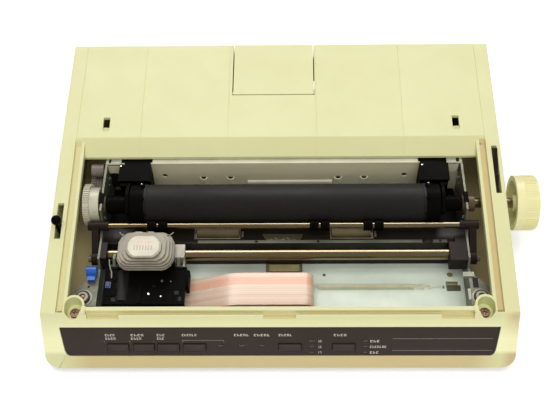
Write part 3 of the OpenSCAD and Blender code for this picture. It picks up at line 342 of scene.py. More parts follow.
castMetal = makeSurface("castMetal", {
    "colour": tone(158, 155, 142), "patch": tone(136, 133, 122), "patchScale": 90, "metal": 0.25,
    "rough": 0.42, "roughSpread": 0.12, "gloss": 0.3, "grain": 0.35, "grainScale": 1300,
    "wear": tone(214, 212, 202), "wearShare": 0.8})
brightSteel = makeSurface("brightSteel", {
    "colour": tone(206, 206, 198), "patch": tone(176, 176, 168), "patchScale": 120, "metal": 0.9,
    "rough": 0.26, "roughSpread": 0.08, "grain": 0.15, "wear": tone(240, 240, 236)})
motorCan = makeSurface("motorCan", {
    "colour": tone(34, 34, 33), "patch": tone(28, 28, 27), "stretch": (1, 1, 6), "metal": 0.3, "rough": 0.5,
    "gloss": 0.2, "grain": 0.2, "grainScale": 900, "wear": tone(90, 90, 86)})
copperScrew = makeSurface("copperScrew", {
    "colour": tone(122, 88, 66), "patch": tone(96, 68, 50), "patchScale": 300, "metal": 0.7, "rough": 0.36,
    "grain": 0.2, "wear": tone(226, 206, 186), "wearShare": 0.9})
brassGear = makeSurface("brassGear", {
    "colour": tone(196, 172, 112), "patch": tone(164, 140, 86), "metal": 0.9, "rough": 0.34, "grain": 0.2,
    "wear": tone(226, 206, 150)})
blueMoulding = makeSurface("blueMoulding", {
    "colour": tone(36, 96, 190), "patch": tone(26, 76, 162), "patchScale": 90, "rough": 0.36, "grain": 0.2,
    "wear": tone(90, 140, 214)})
footRubber = makeSurface("footRubber", {
    "colour": tone(40, 39, 38), "patch": tone(52, 50, 48), "patchScale": 60, "rough": 0.7, "grain": 0.4,
    "grainScale": 1200, "dust": tone(90, 86, 78)})
boardGreen = makeSurface("boardGreen", {
    "colour": tone(44, 92, 52), "patch": tone(36, 80, 44), "patchScale": 200, "speck": tone(120, 140, 84),
    "speckScale": 420, "speckShare": 0.5, "rough": 0.35, "coat": 0.4, "grain": 0.2})
ironBlack = makeSurface("ironBlack", {
    "colour": tone(62, 60, 60), "patch": tone(48, 46, 46), "stretch": (8, 1, 1), "rough": 0.5, "metal": 0.4,
    "grain": 0.4, "grainScale": 700})
redMoulding = makeSurface("redMoulding", {
    "colour": tone(176, 40, 32), "patch": tone(156, 32, 26), "patchScale": 60, "rough": 0.34, "grain": 0.15,
    "wear": tone(206, 90, 80)})
clampTan = makeSurface("clampTan", {
    "colour": tone(212, 200, 152), "patch": tone(192, 178, 130), "patchScale": 90, "rough": 0.5,
    "grain": 0.3})
print("materials made", len(bpy.data.materials))


# mesh helpers, working in millimetres from the middle of the case

meshLook = {"sharpAngle": 35, "edgeAngle": 30, "flatAngle": 1, "weldGap": 0.01}
toRow = Matrix.Scale(mm, 4) @ Matrix.Translation((caseMid, 0, 0))
acrossAxis = {"X": lambda a, b, along: (along, a, b), "Y": lambda a, b, along: (a, along, b),
              "Z": lambda a, b, along: (a, b, along)}


def turned(centre, radius, degrees):
    angle = math.radians(degrees)
    return (centre[0] + radius * math.cos(angle), centre[1] + radius * math.sin(angle))


def bridge(bm, first, second):
    # quads between two closed rings of as many points
    for n in range(len(first)):
        m = (n + 1) % len(first)
        bm.faces.new((first[n], first[m], second[m], second[n]))


def around(centre, half):
    return (centre - half, centre + half)


def addBox(bm, x, y, z):
    points = [bm.verts.new((x[i], y[j], z[k])) for k in (0, 1) for j in (0, 1) for i in (0, 1)]
    for corners in ((0, 2, 3, 1), (4, 5, 7, 6), (0, 1, 5, 4), (2, 6, 7, 3), (0, 4, 6, 2), (1, 3, 7, 5)):
        bm.faces.new([points[n] for n in corners])


def addBoxFrom(bm, origin, spans):
    # a box whose spans in x, y and z are counted from the origin
    addBox(bm, *([start + edge for edge in span] for start, span in zip(origin, spans)))


def addPrism(bm, outline, axis, span):
    # outline across the axis: (y, z) for X, (x, z) for Y, (x, y) for Z
    at = acrossAxis[axis]
    rings = [[bm.verts.new(at(a, b, along)) for a, b in outline] for along in span]
    bm.faces.new(rings[0])
    bm.faces.new(list(reversed(rings[1])))
    bridge(bm, *rings)


def addSpun(bm, profile, axis, centre, steps=32):
    # profile of (radius, place along the axis), turned about the axis through centre
    at = acrossAxis[axis]
    rings = []
    for radius, along in profile:
        count = 1 if radius < 1e-6 else steps
        rings.append([bm.verts.new(at(centre[0] + radius * math.cos(2 * math.pi * n / steps),
                                      centre[1] + radius * math.sin(2 * math.pi * n / steps), along))
                      for n in range(count)])
    for first, second in zip(rings, rings[1:]):
        for n in range(steps):
            m = (n + 1) % steps
            corners = [first[n % len(first)], first[m % len(first)],
                       second[m % len(second)], second[n % len(second)]]
            bm.faces.new([c for i, c in enumerate(corners) if c not in corners[:i]])


def chamfered(span, radius, chamfer):
    # the outer line of a turned piece, with its two edges cut
    a, b = span
    if not chamfer:
        return [(radius, a), (radius, b)]
    return [(radius - chamfer, a), (radius, a + chamfer), (radius, b - chamfer), (radius - chamfer, b)]


def addRod(bm, axis, span, centre, radius, chamfer=0.0, steps=32):
    profile = [(0, span[0])] + chamfered(span, radius, chamfer) + [(0, span[1])]
    addSpun(bm, profile, axis, centre, steps)


def addRing(bm, axis, span, centre, inner, outer, chamfer=0.0, steps=32):
    profile = [(inner, span[0])] + chamfered(span, outer, chamfer) + [(inner, span[1]), (inner, span[0])]
    addSpun(bm, profile, axis, centre, steps)


def addTube(bm, path, radius, sides=8):
    points = [Vector(p) for p in path]
    side = None
    rings = []
    for n, point in enumerate(points):
        ahead = (points[min(n + 1, len(points) - 1)] - points[max(n - 1, 0)]).normalized()
        if side is None:
            side = ahead.orthogonal().normalized()
        side = (side - ahead * side.dot(ahead)).normalized()
        up = ahead.cross(side)
        angles = [2 * math.pi * k / sides for k in range(sides)]
        rings.append([bm.verts.new(point + radius * (side * math.cos(angle) + up * math.sin(angle)))
                      for angle in angles])
    bm.faces.new(list(reversed(rings[0])))
    bm.faces.new(rings[-1])
    for first, second in zip(rings, rings[1:]):
        bridge(bm, first, second)


def arcPoints(centre, radius, start, end, steps):
    return [turned(centre, radius, start + (end - start) * n / steps) for n in range(steps + 1)]


def addBevel(piece, width, segments=2, byWeight=False):
    bevel = piece.modifiers.new("edges", "BEVEL")
    bevel.width = width * mm
    bevel.segments = segments
    bevel.limit_method = "WEIGHT" if byWeight else "ANGLE"
    bevel.angle_limit = math.radians(meshLook["edgeAngle"])
    bevel.harden_normals = True
    return bevel


def makePiece(name, bm, mat, body, bevel=0.0, replaced=()):
    bmesh.ops.recalc_face_normals(bm, faces=bm.faces)
    bm.transform(toRow)
    mesh = bpy.data.meshes.new(name)
    bm.to_mesh(mesh)
    bm.free()
    mesh.shade_smooth()
    mesh.set_sharp_from_angle(angle=math.radians(meshLook["sharpAngle"]))
    mesh.materials.append(mat)
    piece = bpy.data.objects.new(name, mesh)
    scene.collection.objects.link(piece)
    if bevel:
        addBevel(piece, bevel)
    if body:
        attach(piece, body)
    if replaced:
        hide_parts(*replaced)
    return piece


def finishNode(node, mat, slotName, bevel):
    piece = nodes[node]
    mesh = piece.data
    if "custom_normal" in mesh.attributes:
        mesh.attributes.remove(mesh.attributes["custom_normal"])
    mesh.shade_smooth()
    mesh.materials.clear()
    mesh.materials.append(mat)
    piece.modifiers.new("weld", "WELD").merge_threshold = meshLook["weldGap"] * mm
    flat = piece.modifiers.new("flat", "DECIMATE")
    flat.decimate_type = "DISSOLVE"
    flat.angle_limit = math.radians(meshLook["flatAngle"])
    addBevel(piece, bevel)
    piece.modifiers.new("normals", "WEIGHTED_NORMAL").keep_sharp = True


# CAD nodes that keep their own shape: material, slot and edge width in millimetres

cadLooks = {
    "lower_case": (trayBeige, "case_lower", 0.5),
    "rubber_feet": (footRubber, "foot_rubber", 0.6),
    "case_screws": (copperScrew, "screw_copper", 0.25),
    "rear_hatch": (caseBeige, "case_upper", 0.5),
    "control_panel": (panelFilm, "panel_black", 0.3),
    "panel_board": (boardGreen, "circuit_board", 0.15),
    "indicator_lamps": (lampLens, "lamp_plastic", 0.2),
    "base_plate": (zincFloor, "zinc_sheet", 0.25),
    "left_side_frame": (zincFrame, "zinc_sheet", 0.25),
    "right_side_frame": (zincFrame, "zinc_sheet", 0.25),
    "back_plate": (plateOlive, "zinc_sheet", 0.4),
    "left_paper_guide": (blackMoulding, "guide_black", 0.6),
    "right_paper_guide": (blackMoulding, "guide_black", 0.6),
    "front_paper_guide": (darkGuide, "guide_brown", 0.3),
    "shaft_bushes": (tanBush, "bush_tan", 0.3),
    "platen_roller": (platenRubber, "platen_rubber", 0.4),
    "platen_shaft": (shaftSteel, "shaft_steel", 0.3),
    "left_pin_wheel": (blackMoulding, "wheel_black", 0.3),
    "right_pin_wheel": (blackMoulding, "wheel_black", 0.3),
    "platen_gear": (whiteAcetal, "gear_white", 0.2),
    "feed_knob": (knobBeige, "knob_plastic", 0.3),
    "idler_gear": (greyAcetal, "gear_grey", 0.2),
    "feed_motor": (motorCan, "motor_steel", 0.5),
    "feed_pinion": (brassGear, "pinion_metal", 0.12),
    "left_pressure_roller": (rollerBrown, "guide_brown", 0.3),
    "right_pressure_roller": (rollerBrown, "guide_brown", 0.3),
    "bail_rod": (shaftSteel, "shaft_steel", 0.3),
    "bail_arms": (brownMoulding, "lever_brown", 0.6),
    "guide_shaft": (shaftSteel, "shaft_steel", 0.3),
    "shaft_brackets": (brownMoulding, "guide_brown", 0.5),
    "carriage_body": (blackMoulding, "carriage_black", 0.4),
    "bearing_block": (castMetal, "die_cast", 0.5),
    "print_head": (castMetal, "head_steel", 0.3),
    "space_motor": (motorCan, "motor_steel", 0.4),
    "space_pinion": (brassGear, "pinion_metal", 0.12),
    "space_rack": (brownMoulding, "guide_brown", 0.12),
    "cable_clamps": (clampTan, "clamp_tan", 0.3),
    "gap_lever": (blackMoulding, "lever_brown", 0.4),
    "release_lever": (brownMoulding, "lever_brown", 0.5),
    "grommets": (footRubber, "foot_rubber", 0.4),
    "home_sensor": (blueMoulding, "sensor_blue", 0.4),
    "main_board": (boardGreen, "circuit_board", 0.2),
    "interface_connector": (ironBlack, "connector_dark", 0.3),
    "transformer": (ironBlack, "transformer_steel", 0.5),
    "power_inlet": (blackMoulding, "connector_dark", 0.4),
    "power_switch": (blackMoulding, "connector_dark", 0.4),
    "power_rocker": (redMoulding, "rocker_red", 0.5)}
for node, look in cadLooks.items():
    finishNode(node, *look)
print("CAD nodes finished")


# upper case: broad edges along its long lines, fine ones elsewhere; widths and lengths in millimetres

shellLook = {
    "broad": 0.55, "fine": 0.16, "fineShare": 0.3,  # edge widths; the share is of the shortest edge beside it
    "long": 90, "short": 3,  # a broad edge is longer than the first, with no neighbour below the second
    "angle": 25, "segments": 3, "atSide": 0.05,  # how close to the side a corner of the knob's hole lies
    "shrink": (0.9999, 0.9998, 0.9996)}  # a hair smaller, so the rounded corners stay inside the case's box


def dressCase():
    look = shellLook
    bm = bmesh.new()
    mesh = nodes["upper_case"].data
    mesh.attributes.remove(mesh.attributes["custom_normal"])
    bm.from_mesh(mesh)
    bm.transform(toRow.inverted())
    bmesh.ops.remove_doubles(bm, verts=bm.verts, dist=meshLook["weldGap"])
    weights = bm.edges.layers.float.new("bevel_weight_edge")
    side = high("upper_case").x
    for edge in bm.edges:
        if len(edge.link_faces) != 2 or edge.calc_face_angle(0) < math.radians(look["angle"]):
            continue
        shortest = min(other.calc_length() for vert in edge.verts for other in vert.link_edges)
        onSide = all(abs(abs(vert.co.x) - side) < look["atSide"] for vert in edge.verts)
        if shortest < look["short"] and onSide:
            continue  # the knob's round hole stays crisp
        isBroad = shortest > look["short"] and edge.calc_length() > look["long"]
        width = look["broad"] if isBroad else min(look["fine"], shortest * look["fineShare"])
        edge[weights] = width / look["broad"]
    bmesh.ops.scale(bm, vec=look["shrink"], verts=bm.verts)
    case = makePiece("caseShell", bm, shellBeige, "chassis", replaced=("upper_case",))
    marks, widths = (case.data.attributes[name].data for name in ("sharp_edge", "bevel_weight_edge"))
    for mark, width in zip(marks, widths):
        mark.value = mark.value and width.value == 0
    addBevel(case, look["broad"], look["segments"], byWeight=True).use_clamp_overlap = False
    case.modifiers.new("normals", "WEIGHTED_NORMAL").keep_sharp = True


dressCase()
print("upper case dressed")


# control panel: keys, printed marks; up is measured along the sloping face

keyLook = {
    "up": 18.1, "halfTall": 3.75, "stemHalf": 1.8, "edge": 0.16,
    "cap": ((0, -1.4), (0, 0.35), (0.3, 0.8), (0.9, 0.8), (1.5, 0.5)), "stem": ((0, -5), (0, -1.2)),
    "bodies": {"key_line_feed": "line_feed_button", "key_form_feed": "form_feed_button",
               "key_top_of_form": "top_of_form_button", "key_select": "select_button",
               "key_pitch": "pitch_button", "key_mode": "mode_button"}}
faceLean = math.radians(30.3)
faceFoot = low("upper_case")


def onFace(x, up, out):
    return Vector((x, faceFoot.y + up * math.sin(faceLean) - out * math.cos(faceLean),
                   faceFoot.z + up * math.cos(faceLean) + out * math.sin(faceLean)))


def addOnFace(bm, x, up, rings):
    # rings of (inset, height out of the face), closed at both ends
    loops = []
    for inset, out in rings:
        left, right, foot, head = x[0] + inset, x[1] - inset, up[0] + inset, up[1] - inset
        spots = ((left, foot), (right, foot), (right, head), (left, head))
        loops.append([bm.verts.new(onFace(*spot, out)) for spot in spots])
    bm.faces.new(loops[0])
    bm.faces.new(list(reversed(loops[-1])))
    for first, second in zip(loops, loops[1:]):
        bridge(bm, first, second)


for node, body in keyLook["bodies"].items():
    bm = bmesh.new()
    x = (low(node).x, high(node).x)
    addOnFace(bm, x, around(keyLook["up"], keyLook["halfTall"]), keyLook["cap"])
    stemX, stemUp = around(sum(x) / 2, keyLook["stemHalf"]), around(keyLook["up"], keyLook["stemHalf"])
    addOnFace(bm, stemX, stemUp, keyLook["stem"])
    makePiece(node.replace("_", "-") + "-cap", bm, keyCap, body, bevel=keyLook["edge"],
              replaced=(node,))

printLook = {
    "skin": ((0, -0.33), (0, -0.26)),  # the ink lies on the panel, a little below the case's face
    "words": (  # across, up, letters
        ((-132.4, -124.7), 29.6, 4), ((-132.3, -124.0), 26.5, 4), ((-112.8, -102.4), 29.6, 4),
        ((-112.7, -104.3), 26.5, 4), ((-92.9, -86.5), 29.6, 3), ((-92.9, -87.1), 26.5, 3),
        ((-73.8, -62.3), 29.6, 6), ((-34.2, -22.4), 29.55, 5), ((-19.1, -6.4), 29.5, 5),
        ((-0.3, 10.1), 29.5, 5), ((41.4, 51.6), 29.45, 4),
        ((69.1, 76.7), 24.0, 3), ((69.0, 81.8), 19.0, 7), ((69.1, 76.2), 13.9, 3)),
    "wordTall": 1.9, "wordLine": 0.45, "armRise": 0.1,
    "upright": (0, 0.26), "topArm": (0.26, 0.72), "middleArm": (0.46, 0.7), "footArm": (0.26, 0.66),
    "numbers": (("10", 24.05), ("12", 18.9), ("17", 13.9)), "numbersAt": 29.0,
    "figureWide": 1.25, "figureTall": 2.0, "figureLine": 0.36, "figureGap": 0.55,
    "lines": (  # across, up
        ((-73.6, -42.0), (24.7, 25.05)), ((-73.6, -73.25), (23.2, 25.05)), ((-42.35, -42.0), (23.2, 25.05)),
        ((85.9, 161.3), (26.03, 26.37)), ((85.9, 161.3), (15.53, 15.87)), ((-133.6, -133.3), (23.4, 24.6)),
        ((-114.1, -113.8), (23.4, 24.6)), ((-95.6, -95.3), (23.4, 24.6)))}


def addWord(bm, x, up, count):
    # a caption as a row of plain bars: uprights with one or two short arms
    look = printLook
    tall, line = look["wordTall"], look["wordLine"]
    foot, head = around(up, tall / 2)
    step = (x[1] - x[0]) / count
    for n in range(count):
        bars = [(look["upright"], (foot, head))]
        if n % 3 != 1:
            bars.append((look["topArm"], (head - line, head)))
        if n % 2:
            bars.append((look["middleArm"], (foot, up + tall * look["armRise"])))
        else:
            bars.append((look["footArm"], (foot, foot + line)))
        left = x[0] + n * step
        for across, rise in bars:
            addOnFace(bm, [left + step * share for share in across], rise, look["skin"])


def addNumber(bm, text, x, up):
    digitBars = {"0": "abcdef", "1": "bc", "2": "abged", "7": "abc"}  # the seven bars of a plain figure
    line = printLook["figureLine"]
    foot, head = around(up, printLook["figureTall"] / 2)
    for n, figure in enumerate(text):
        a = x + n * (printLook["figureWide"] + printLook["figureGap"])
        b = a + printLook["figureWide"]
        bars = {"a": ((a, b), (head - line, head)), "b": ((b - line, b), (up, head)),
                "c": ((b - line, b), (foot, up)), "d": ((a, b), (foot, foot + line)),
                "e": ((a, a + line), (foot, up)), "f": ((a, a + line), (up, head)),
                "g": ((a, b), around(up, line / 2))}
        for bar in digitBars[figure]:
            addOnFace(bm, *bars[bar], printLook["skin"])


def printPanel():
    bm = bmesh.new()
    for x, up, count in printLook["words"]:
        addWord(bm, x, up, count)
    for text, up in printLook["numbers"]:
        addNumber(bm, text, printLook["numbersAt"], up)
    makePiece("panel-captions", bm, whitePrint, "chassis")
    bm = bmesh.new()
    for x, up in printLook["lines"]:
        addOnFace(bm, x, up, printLook["skin"])
    makePiece("panel-lines", bm, greyPrint, "chassis")


printPanel()
print("keys and panel printed")


# print head: stacked cooling fins on a dark block

finLook = {
    "count": 6, "pitch": 2.6, "thick": 1.25, "edge": 0.3,
    "width": 45, "depth": 33, "corner": 8.6,  # of the lowest fin
    "narrowing": 0.7, "shortening": 0.48, "cornerStep": 0.35, "leaning": 0.11,  # how fast higher fins shrink
    "cutShape": ((0, 1), (0.28, 0.42), (0.72, 0.08), (1, 0)),  # the rounded corner, in shares of its cut
    "middleBack": 16.8, "shift": 0.3, "topRise": 1.4, "sunk": 0.2, "markOver": 0.02, "coreUnder": 1.0,
    "plate": (24.5, 18.2, 6.2), "core": (22, 16, 4),  # width, depth, cut corner
    "bead": ((11.3, 3.4), (10.3, 5.9), (8.6, 7.7), (6.0, 8.3)), "beadRadius": 0.42, "beadUnder": 0.25,
    "redMarks": {"count": 4, "start": -4.6, "pitch": 2.5, "wide": 1.5, "along": (2.6, 4.4)},
    "greyMarks": {"count": 7, "start": -7.6, "pitch": 2.2, "wide": 1.2, "along": (-3.8, 0.6)}}
brightFin = makeSurface("brightFin", {
    "colour": tone(226, 218, 200), "patch": tone(212, 204, 186), "patchScale": 90, "gloss": 0.3,
    "rough": 0.45, "roughSpread": 0.1, "grain": 0.25, "grainScale": 1500, "wear": tone(242, 238, 228),
    "wearWidth": 0.3})
fadedRed = makeSurface("fadedRed", {
    "colour": tone(206, 168, 160), "patch": tone(190, 182, 172), "patchScale": 500, "rough": 0.5,
    "metal": 0.3})
fadedGrey = makeSurface("fadedGrey", {
    "colour": tone(150, 148, 136), "patch": tone(178, 174, 160), "patchScale": 500, "rough": 0.5,
    "metal": 0.4})


def fourCorners(centre, spots):
    # one corner's spots, mirrored into all four corners in turn
    outline = []
    for sx, sy in ((1, 1), (-1, 1), (-1, -1), (1, -1)):
        ends = [(centre[0] + sx * x, centre[1] + sy * y) for x, y in spots]
        outline += ends if sx * sy > 0 else list(reversed(ends))
    return outline


def addFin(bm, centre, z, width, depth, cut):
    # a plate with cut and slightly rounded corners
    w, d = width / 2, depth / 2
    spots = [(w - cut * a, d - cut * b) for a, b in finLook["cutShape"]]
    addPrism(bm, fourCorners(centre, spots), "Z", z)


def buildHeatSink():
    look = finLook
    foot, top = low("heat_sink"), high("heat_sink")
    centreX = (foot.x + top.x) / 2
    backY = top.y - look["middleBack"]
    bm = bmesh.new()
    for n in range(look["count"]):
        centre = (centreX, backY - look["leaning"] * n * n + look["shift"])
        z = foot.z + look["pitch"] * n
        width = look["width"] - look["narrowing"] * n * n
        depth = look["depth"] - look["shortening"] * n * n
        addFin(bm, centre, (z, z + look["thick"]), width, depth, look["corner"] - look["cornerStep"] * n)
    makePiece("heat-sink-fins", bm, finSilver, "carriage", bevel=look["edge"],
              replaced=("heat_sink",))
    topZ = z + look["topRise"]
    markZ = (topZ - look["sunk"], topZ + look["markOver"])
    bm = bmesh.new()
    addFin(bm, centre, (topZ - look["sunk"], topZ), *look["plate"])
    makePiece("heat-sink-top-plate", bm, brightFin, "carriage", bevel=0.08)
    bm = bmesh.new()
    addFin(bm, (centreX, backY), (foot.z, topZ - look["coreUnder"]), *look["core"])
    makePiece("heat-sink-core", bm, ironBlack, "carriage", bevel=0.2)
    # a raised bead around the top fin, and faint plain marks inside it
    bm = bmesh.new()
    ring = fourCorners(centre, look["bead"])
    addTube(bm, [(x, y, topZ - look["beadUnder"]) for x, y in ring + ring[:2]], look["beadRadius"])
    makePiece("heat-sink-bead", bm, brightFin, "carriage")
    for name, marks, mat in (("heat-sink-red-marks", look["redMarks"], fadedRed),
                             ("heat-sink-grey-marks", look["greyMarks"], fadedGrey)):
        bm = bmesh.new()
        for n in range(marks["count"]):
            left = centreX + marks["start"] + n * marks["pitch"]
            addBox(bm, (left, left + marks["wide"]), [centre[1] + along for along in marks["along"]], markZ)
        makePiece(name, bm, mat, "carriage")


buildHeatSink()


# spring clips, screw heads and the cast clamp behind the fins, measured from their middle, back and foot

headLook = {
    "overBack": 0.4, "underRoller": 4.2,  # the back edge, which stays clear of the bail rollers at full lift
    "clip": ((10, -3.9, 6.6), (16.5, -3.0, 6.9), (19, -3.0, 7.0), (21.4, -0.7, 7.2)), "clipRadius": 0.5,
    "clamp": ((-9.5, 6.5), (-2.9, 0), (5.0, 6.4)),
    "lugs": (-6.5, 3.4), "lug": ((-2.3, 2.3), (-2.4, 0), (6.4, 7.6)),
    "screwZ": (7.6, 8.3), "screwBack": 1.3, "screwRadius": 1.1,
    "ribbonPlate": ((-115.5, -42.1), (-103.5, -42.1), (-102.2, -40.9), (-103.0, -39.8), (-107.6, -39.8),
                    (-110, -39.2), (-117, -39.9)), "ribbonPlateZ": (49.6, 50.6)}
ribbonPlate = makeSurface("ribbonPlate", {
    "colour": tone(168, 140, 128), "patch": tone(140, 112, 102), "patchScale": 60, "metal": 0.5,
    "rough": 0.4, "wear": tone(224, 204, 190), "wearShare": 0.8})


def dressHead():
    look = headLook
    foot, top = low("heat_sink"), high("heat_sink")
    back = min(top.y + look["overBack"], low("left_bail_roller").y - look["underRoller"])
    start = ((foot.x + top.x) / 2, back, foot.z)
    bm = bmesh.new()
    for side in (-1, 1):
        path = [(start[0] + side * x, start[1] + y, start[2] + z) for x, y, z in look["clip"]]
        addTube(bm, path, look["clipRadius"])
    makePiece("head-clip-wires", bm, brightSteel, "carriage")
    bm = bmesh.new()
    addBoxFrom(bm, start, look["clamp"])
    for across in look["lugs"]:
        x = start[0] + across
        addBoxFrom(bm, (x, back, foot.z), look["lug"])
        screwSpan = [foot.z + z for z in look["screwZ"]]
        addRod(bm, "Z", screwSpan, (x, back - look["screwBack"]), look["screwRadius"], chamfer=0.3, steps=20)
    makePiece("head-back-clamp", bm, castMetal, "carriage", bevel=0.25)
    bm = bmesh.new()
    addPrism(bm, look["ribbonPlate"], "Z", look["ribbonPlateZ"])
    makePiece("ribbon-guide-plate", bm, ribbonPlate, "carriage", bevel=0.25)


dressHead()
print("print head dressed")


# carriage housing: ribs and pins on its top, pockets drawn as near-black boxes of painted shade, the metal
# saddles behind it, earth wire and plug

housingLook = {
    "top": 34.0,
    "ribs": (((-137.5, -74.3), (-63.9, -62.5), (-0.2, 0.7)), ((-137.5, -74.3), (-96.0, -94.9), (-0.2, 0.5)),
             ((-137.6, -136.3), (-94.9, -63.9), (-0.2, 0.5)), ((-100.7, -99.7), (-92.5, -65.2), (-0.2, 0.45)),
             ((-90.3, -89.3), (-92.5, -65.2), (-0.2, 0.45)), ((-83.1, -82.1), (-92.5, -65.2), (-0.2, 0.45)),
             ((-89.8, -75.7), (-83.3, -82.3), (-0.2, 0.45)), ((-136, -126), (-88.5, -82.0), (-0.2, 0.6))),
    "bosses": ((-130, -74), (-116, -70.5), (-93, -70.5)), "bossRadius": 1.9, "bossZ": (-0.2, 0.7),
    "cheek": ((-80.4, -1), (-80.4, 1.4), (-77, 2.6), (-69.5, 2.6), (-65.6, 1.2), (-65.6, -1)),
    "cheekX": (-73.5, -71.5),
    "pins": ((-92.6, -74.8, 0.9), (-102.2, -86.7, 1.1), (-92.4, -88.9, 0.8), (-85.5, -75.4, 0.55)),
    "pinZ": (-0.3, 0.5), "pocketZ": (-0.1, 0.06),
    "pockets": ((-129, -84.9, 2.6, 2.2), (-128.3, -91.6, 5.6, 3.2), (-80.5, -85.4, 3.6, 3.4),
                (-98.5, -79.5, 2.4, 2.2), (-77.6, -91, 2.6, 3.4)),
    "saddle": ((-62.2, 34.0), (-62.2, 35.4), (-57.4, 38.8), (-52.5, 38.8), (-52.5, 37.6), (-56.9, 37.6),
               (-60.6, 34.0)), "saddleX": (-131.6, -80.2), "saddleHalf": 1.1,
    "wire": ((-135.4, -57.5, 38.6), (-135.0, -61.5, 37.2), (-134.2, -64.5, 35.2), (-133.2, -66.8, 34.6),
             (-132.6, -72.4, 34.5)), "wireRadius": 0.55,
    "plug": (((-136.8, -132.4), (-82.0, -76.0), (0, 1.4)), ((-136.0, -133.2), (-81.0, -77.4), (1.4, 2.0)))}
# deepShade: near-black sheets of painted shade, laid where holes, pockets and gaps look dark
deepShade = makeSurface("deepShade", {
    "colour": tone(8, 8, 9), "patch": tone(14, 13, 13), "patchScale": 300, "rough": 0.7, "grain": 0.2})
darkBlue = makeSurface("darkBlue", {
    "colour": tone(22, 40, 92), "patch": tone(16, 28, 66), "patchScale": 120, "rough": 0.4, "grain": 0.2,
    "wear": tone(60, 84, 140)})


def dressHousing():
    look = housingLook
    top = look["top"]
    deck = (0, 0, top)
    bm = bmesh.new()
    for spans in look["ribs"]:
        addBoxFrom(bm, deck, spans)
    bossSpan, pinSpan, pocketSpan = ([top + z for z in look[name]] for name in ("bossZ", "pinZ", "pocketZ"))
    for spot in look["bosses"]:
        addRod(bm, "Z", bossSpan, spot, look["bossRadius"], chamfer=0.3, steps=24)
    addPrism(bm, [(y, top + z) for y, z in look["cheek"]], "X", look["cheekX"])
    makePiece("housing-ribs", bm, blackMoulding, "carriage", bevel=0.2)
    bm = bmesh.new()
    for x, y, radius in look["pins"]:
        addRod(bm, "Z", pinSpan, (x, y), radius, chamfer=0.25, steps=16)
    makePiece("housing-pins", bm, brightSteel, "carriage")
    # near-black boxes of painted shade for the pockets
    bm = bmesh.new()
    for x, y, wide, deep in look["pockets"]:
        addBox(bm, around(x, wide / 2), around(y, deep / 2), pocketSpan)
    makePiece("housing-pocket-shade", bm, deepShade, "carriage")
    bm = bmesh.new()
    for x in look["saddleX"]:
        addPrism(bm, look["saddle"], "X", around(x, look["saddleHalf"]))
    makePiece("housing-saddles", bm, zincFrame, "carriage", bevel=0.2)
    bm = bmesh.new()
    addTube(bm, look["wire"], look["wireRadius"])
    makePiece("housing-earth-wire", bm, castMetal, "carriage")
    bm = bmesh.new()
    for spans in look["plug"]:
        addBoxFrom(bm, deck, spans)
    makePiece("housing-sensor-plug", bm, darkBlue, "carriage", bevel=0.35)


dressHousing()
print("carriage dressed")


# flat cable: stripes along its length, laid in one resting loop

cableLook = {
    "pale": tone(226, 200, 180), "salmon": tone(233, 172, 144), "pink": tone(226, 184, 164),
    "milk": tone(231, 214, 194), "trace": tone(202, 142, 118),
    "stripes": ((0.10, "pale"), (0.22, "milk"), (0.30, "pink"), (0.38, "milk"), (0.52, "pale"),
                (0.60, "milk"), (0.66, "salmon"), (0.84, "salmon"), (0.88, "pale"), (0.95, "milk")),
    "stripeShare": 0.78,
    "tracePitch": 1.9, "traceRange": (0.72, 0.95), "traceShare": 0.32,
    "thick": 0.4, "rows": 10, "bendX": 20.3, "bendRadius": 6.6, "lowZ": 15.9,  # the resting loop
    "startX": -88, "startZ": 17.3, "rampX": (-78, -30), "endX": -8.9,  # leaves the carriage, rises, ends
    "topBlend": (128.6, -88), "bottomBlend": (-10, 50.6), "rollBlend": 5000}  # x at chassis and at carriage


def makeFilm():
    look = cableLook
    mat = makeSurface("cableFilm", {
        "colour": look["pale"], "patch": look["pink"], "patchScale": 30, "rough": 0.24, "roughSpread": 0.08,
        "coat": 0.15, "coatRough": 0.2, "grain": 0.08})
    tree = mat.node_tree
    base = tree.nodes["Principled BSDF"].inputs["Base Color"]
    point = objectPoint(tree)
    edges = (low("flat_cable").y * mm, high("flat_cable").y * mm)
    ramp = addNode(tree, "ShaderNodeValToRGB", {"Fac": spread(tree, splitPoint(tree, point)["Y"], edges)})
    stops = ramp.color_ramp.elements
    for stop, name in zip(stops, ("salmon", "pink")):
        stop.color = look[name]
    for at, name in look["stripes"]:
        stops.new(at).color = look[name]
    lines = evenLines(tree, point, "Y", look["tracePitch"])
    traces = spread(tree, lines, look["traceRange"], (0.0, look["traceShare"]))
    colour = mixed(tree, look["stripeShare"], base.links[0].from_socket, ramp.outputs["Color"])
    tree.links.new(mixed(tree, traces, colour, look["trace"]), base)
    return mat


def stripAlong(points, thick):
    # a closed outline around a line of (x, z) points
    upper, lower = [], []
    for n, (x, z) in enumerate(points):
        before, after = points[max(n - 1, 0)], points[min(n + 1, len(points) - 1)]
        dx, dz = after[0] - before[0], after[1] - before[1]
        length = math.hypot(dx, dz)
        nx, nz = -dz / length * thick / 2, dx / length * thick / 2
        upper.append((x + nx, z + nz))
        lower.append((x - nx, z - nz))
    return upper + list(reversed(lower))


def easedRamp(x, z, steps):
    points = []
    for n in range(steps + 1):
        share = n / steps
        points.append((x[0] + (x[1] - x[0]) * share, z[0] + (z[1] - z[0]) * share * share * (3 - 2 * share)))
    return points


def levelRun(x, z, steps, first=0):
    return [(x[0] + (x[1] - x[0]) * n / steps, z) for n in range(first, steps + 1)]


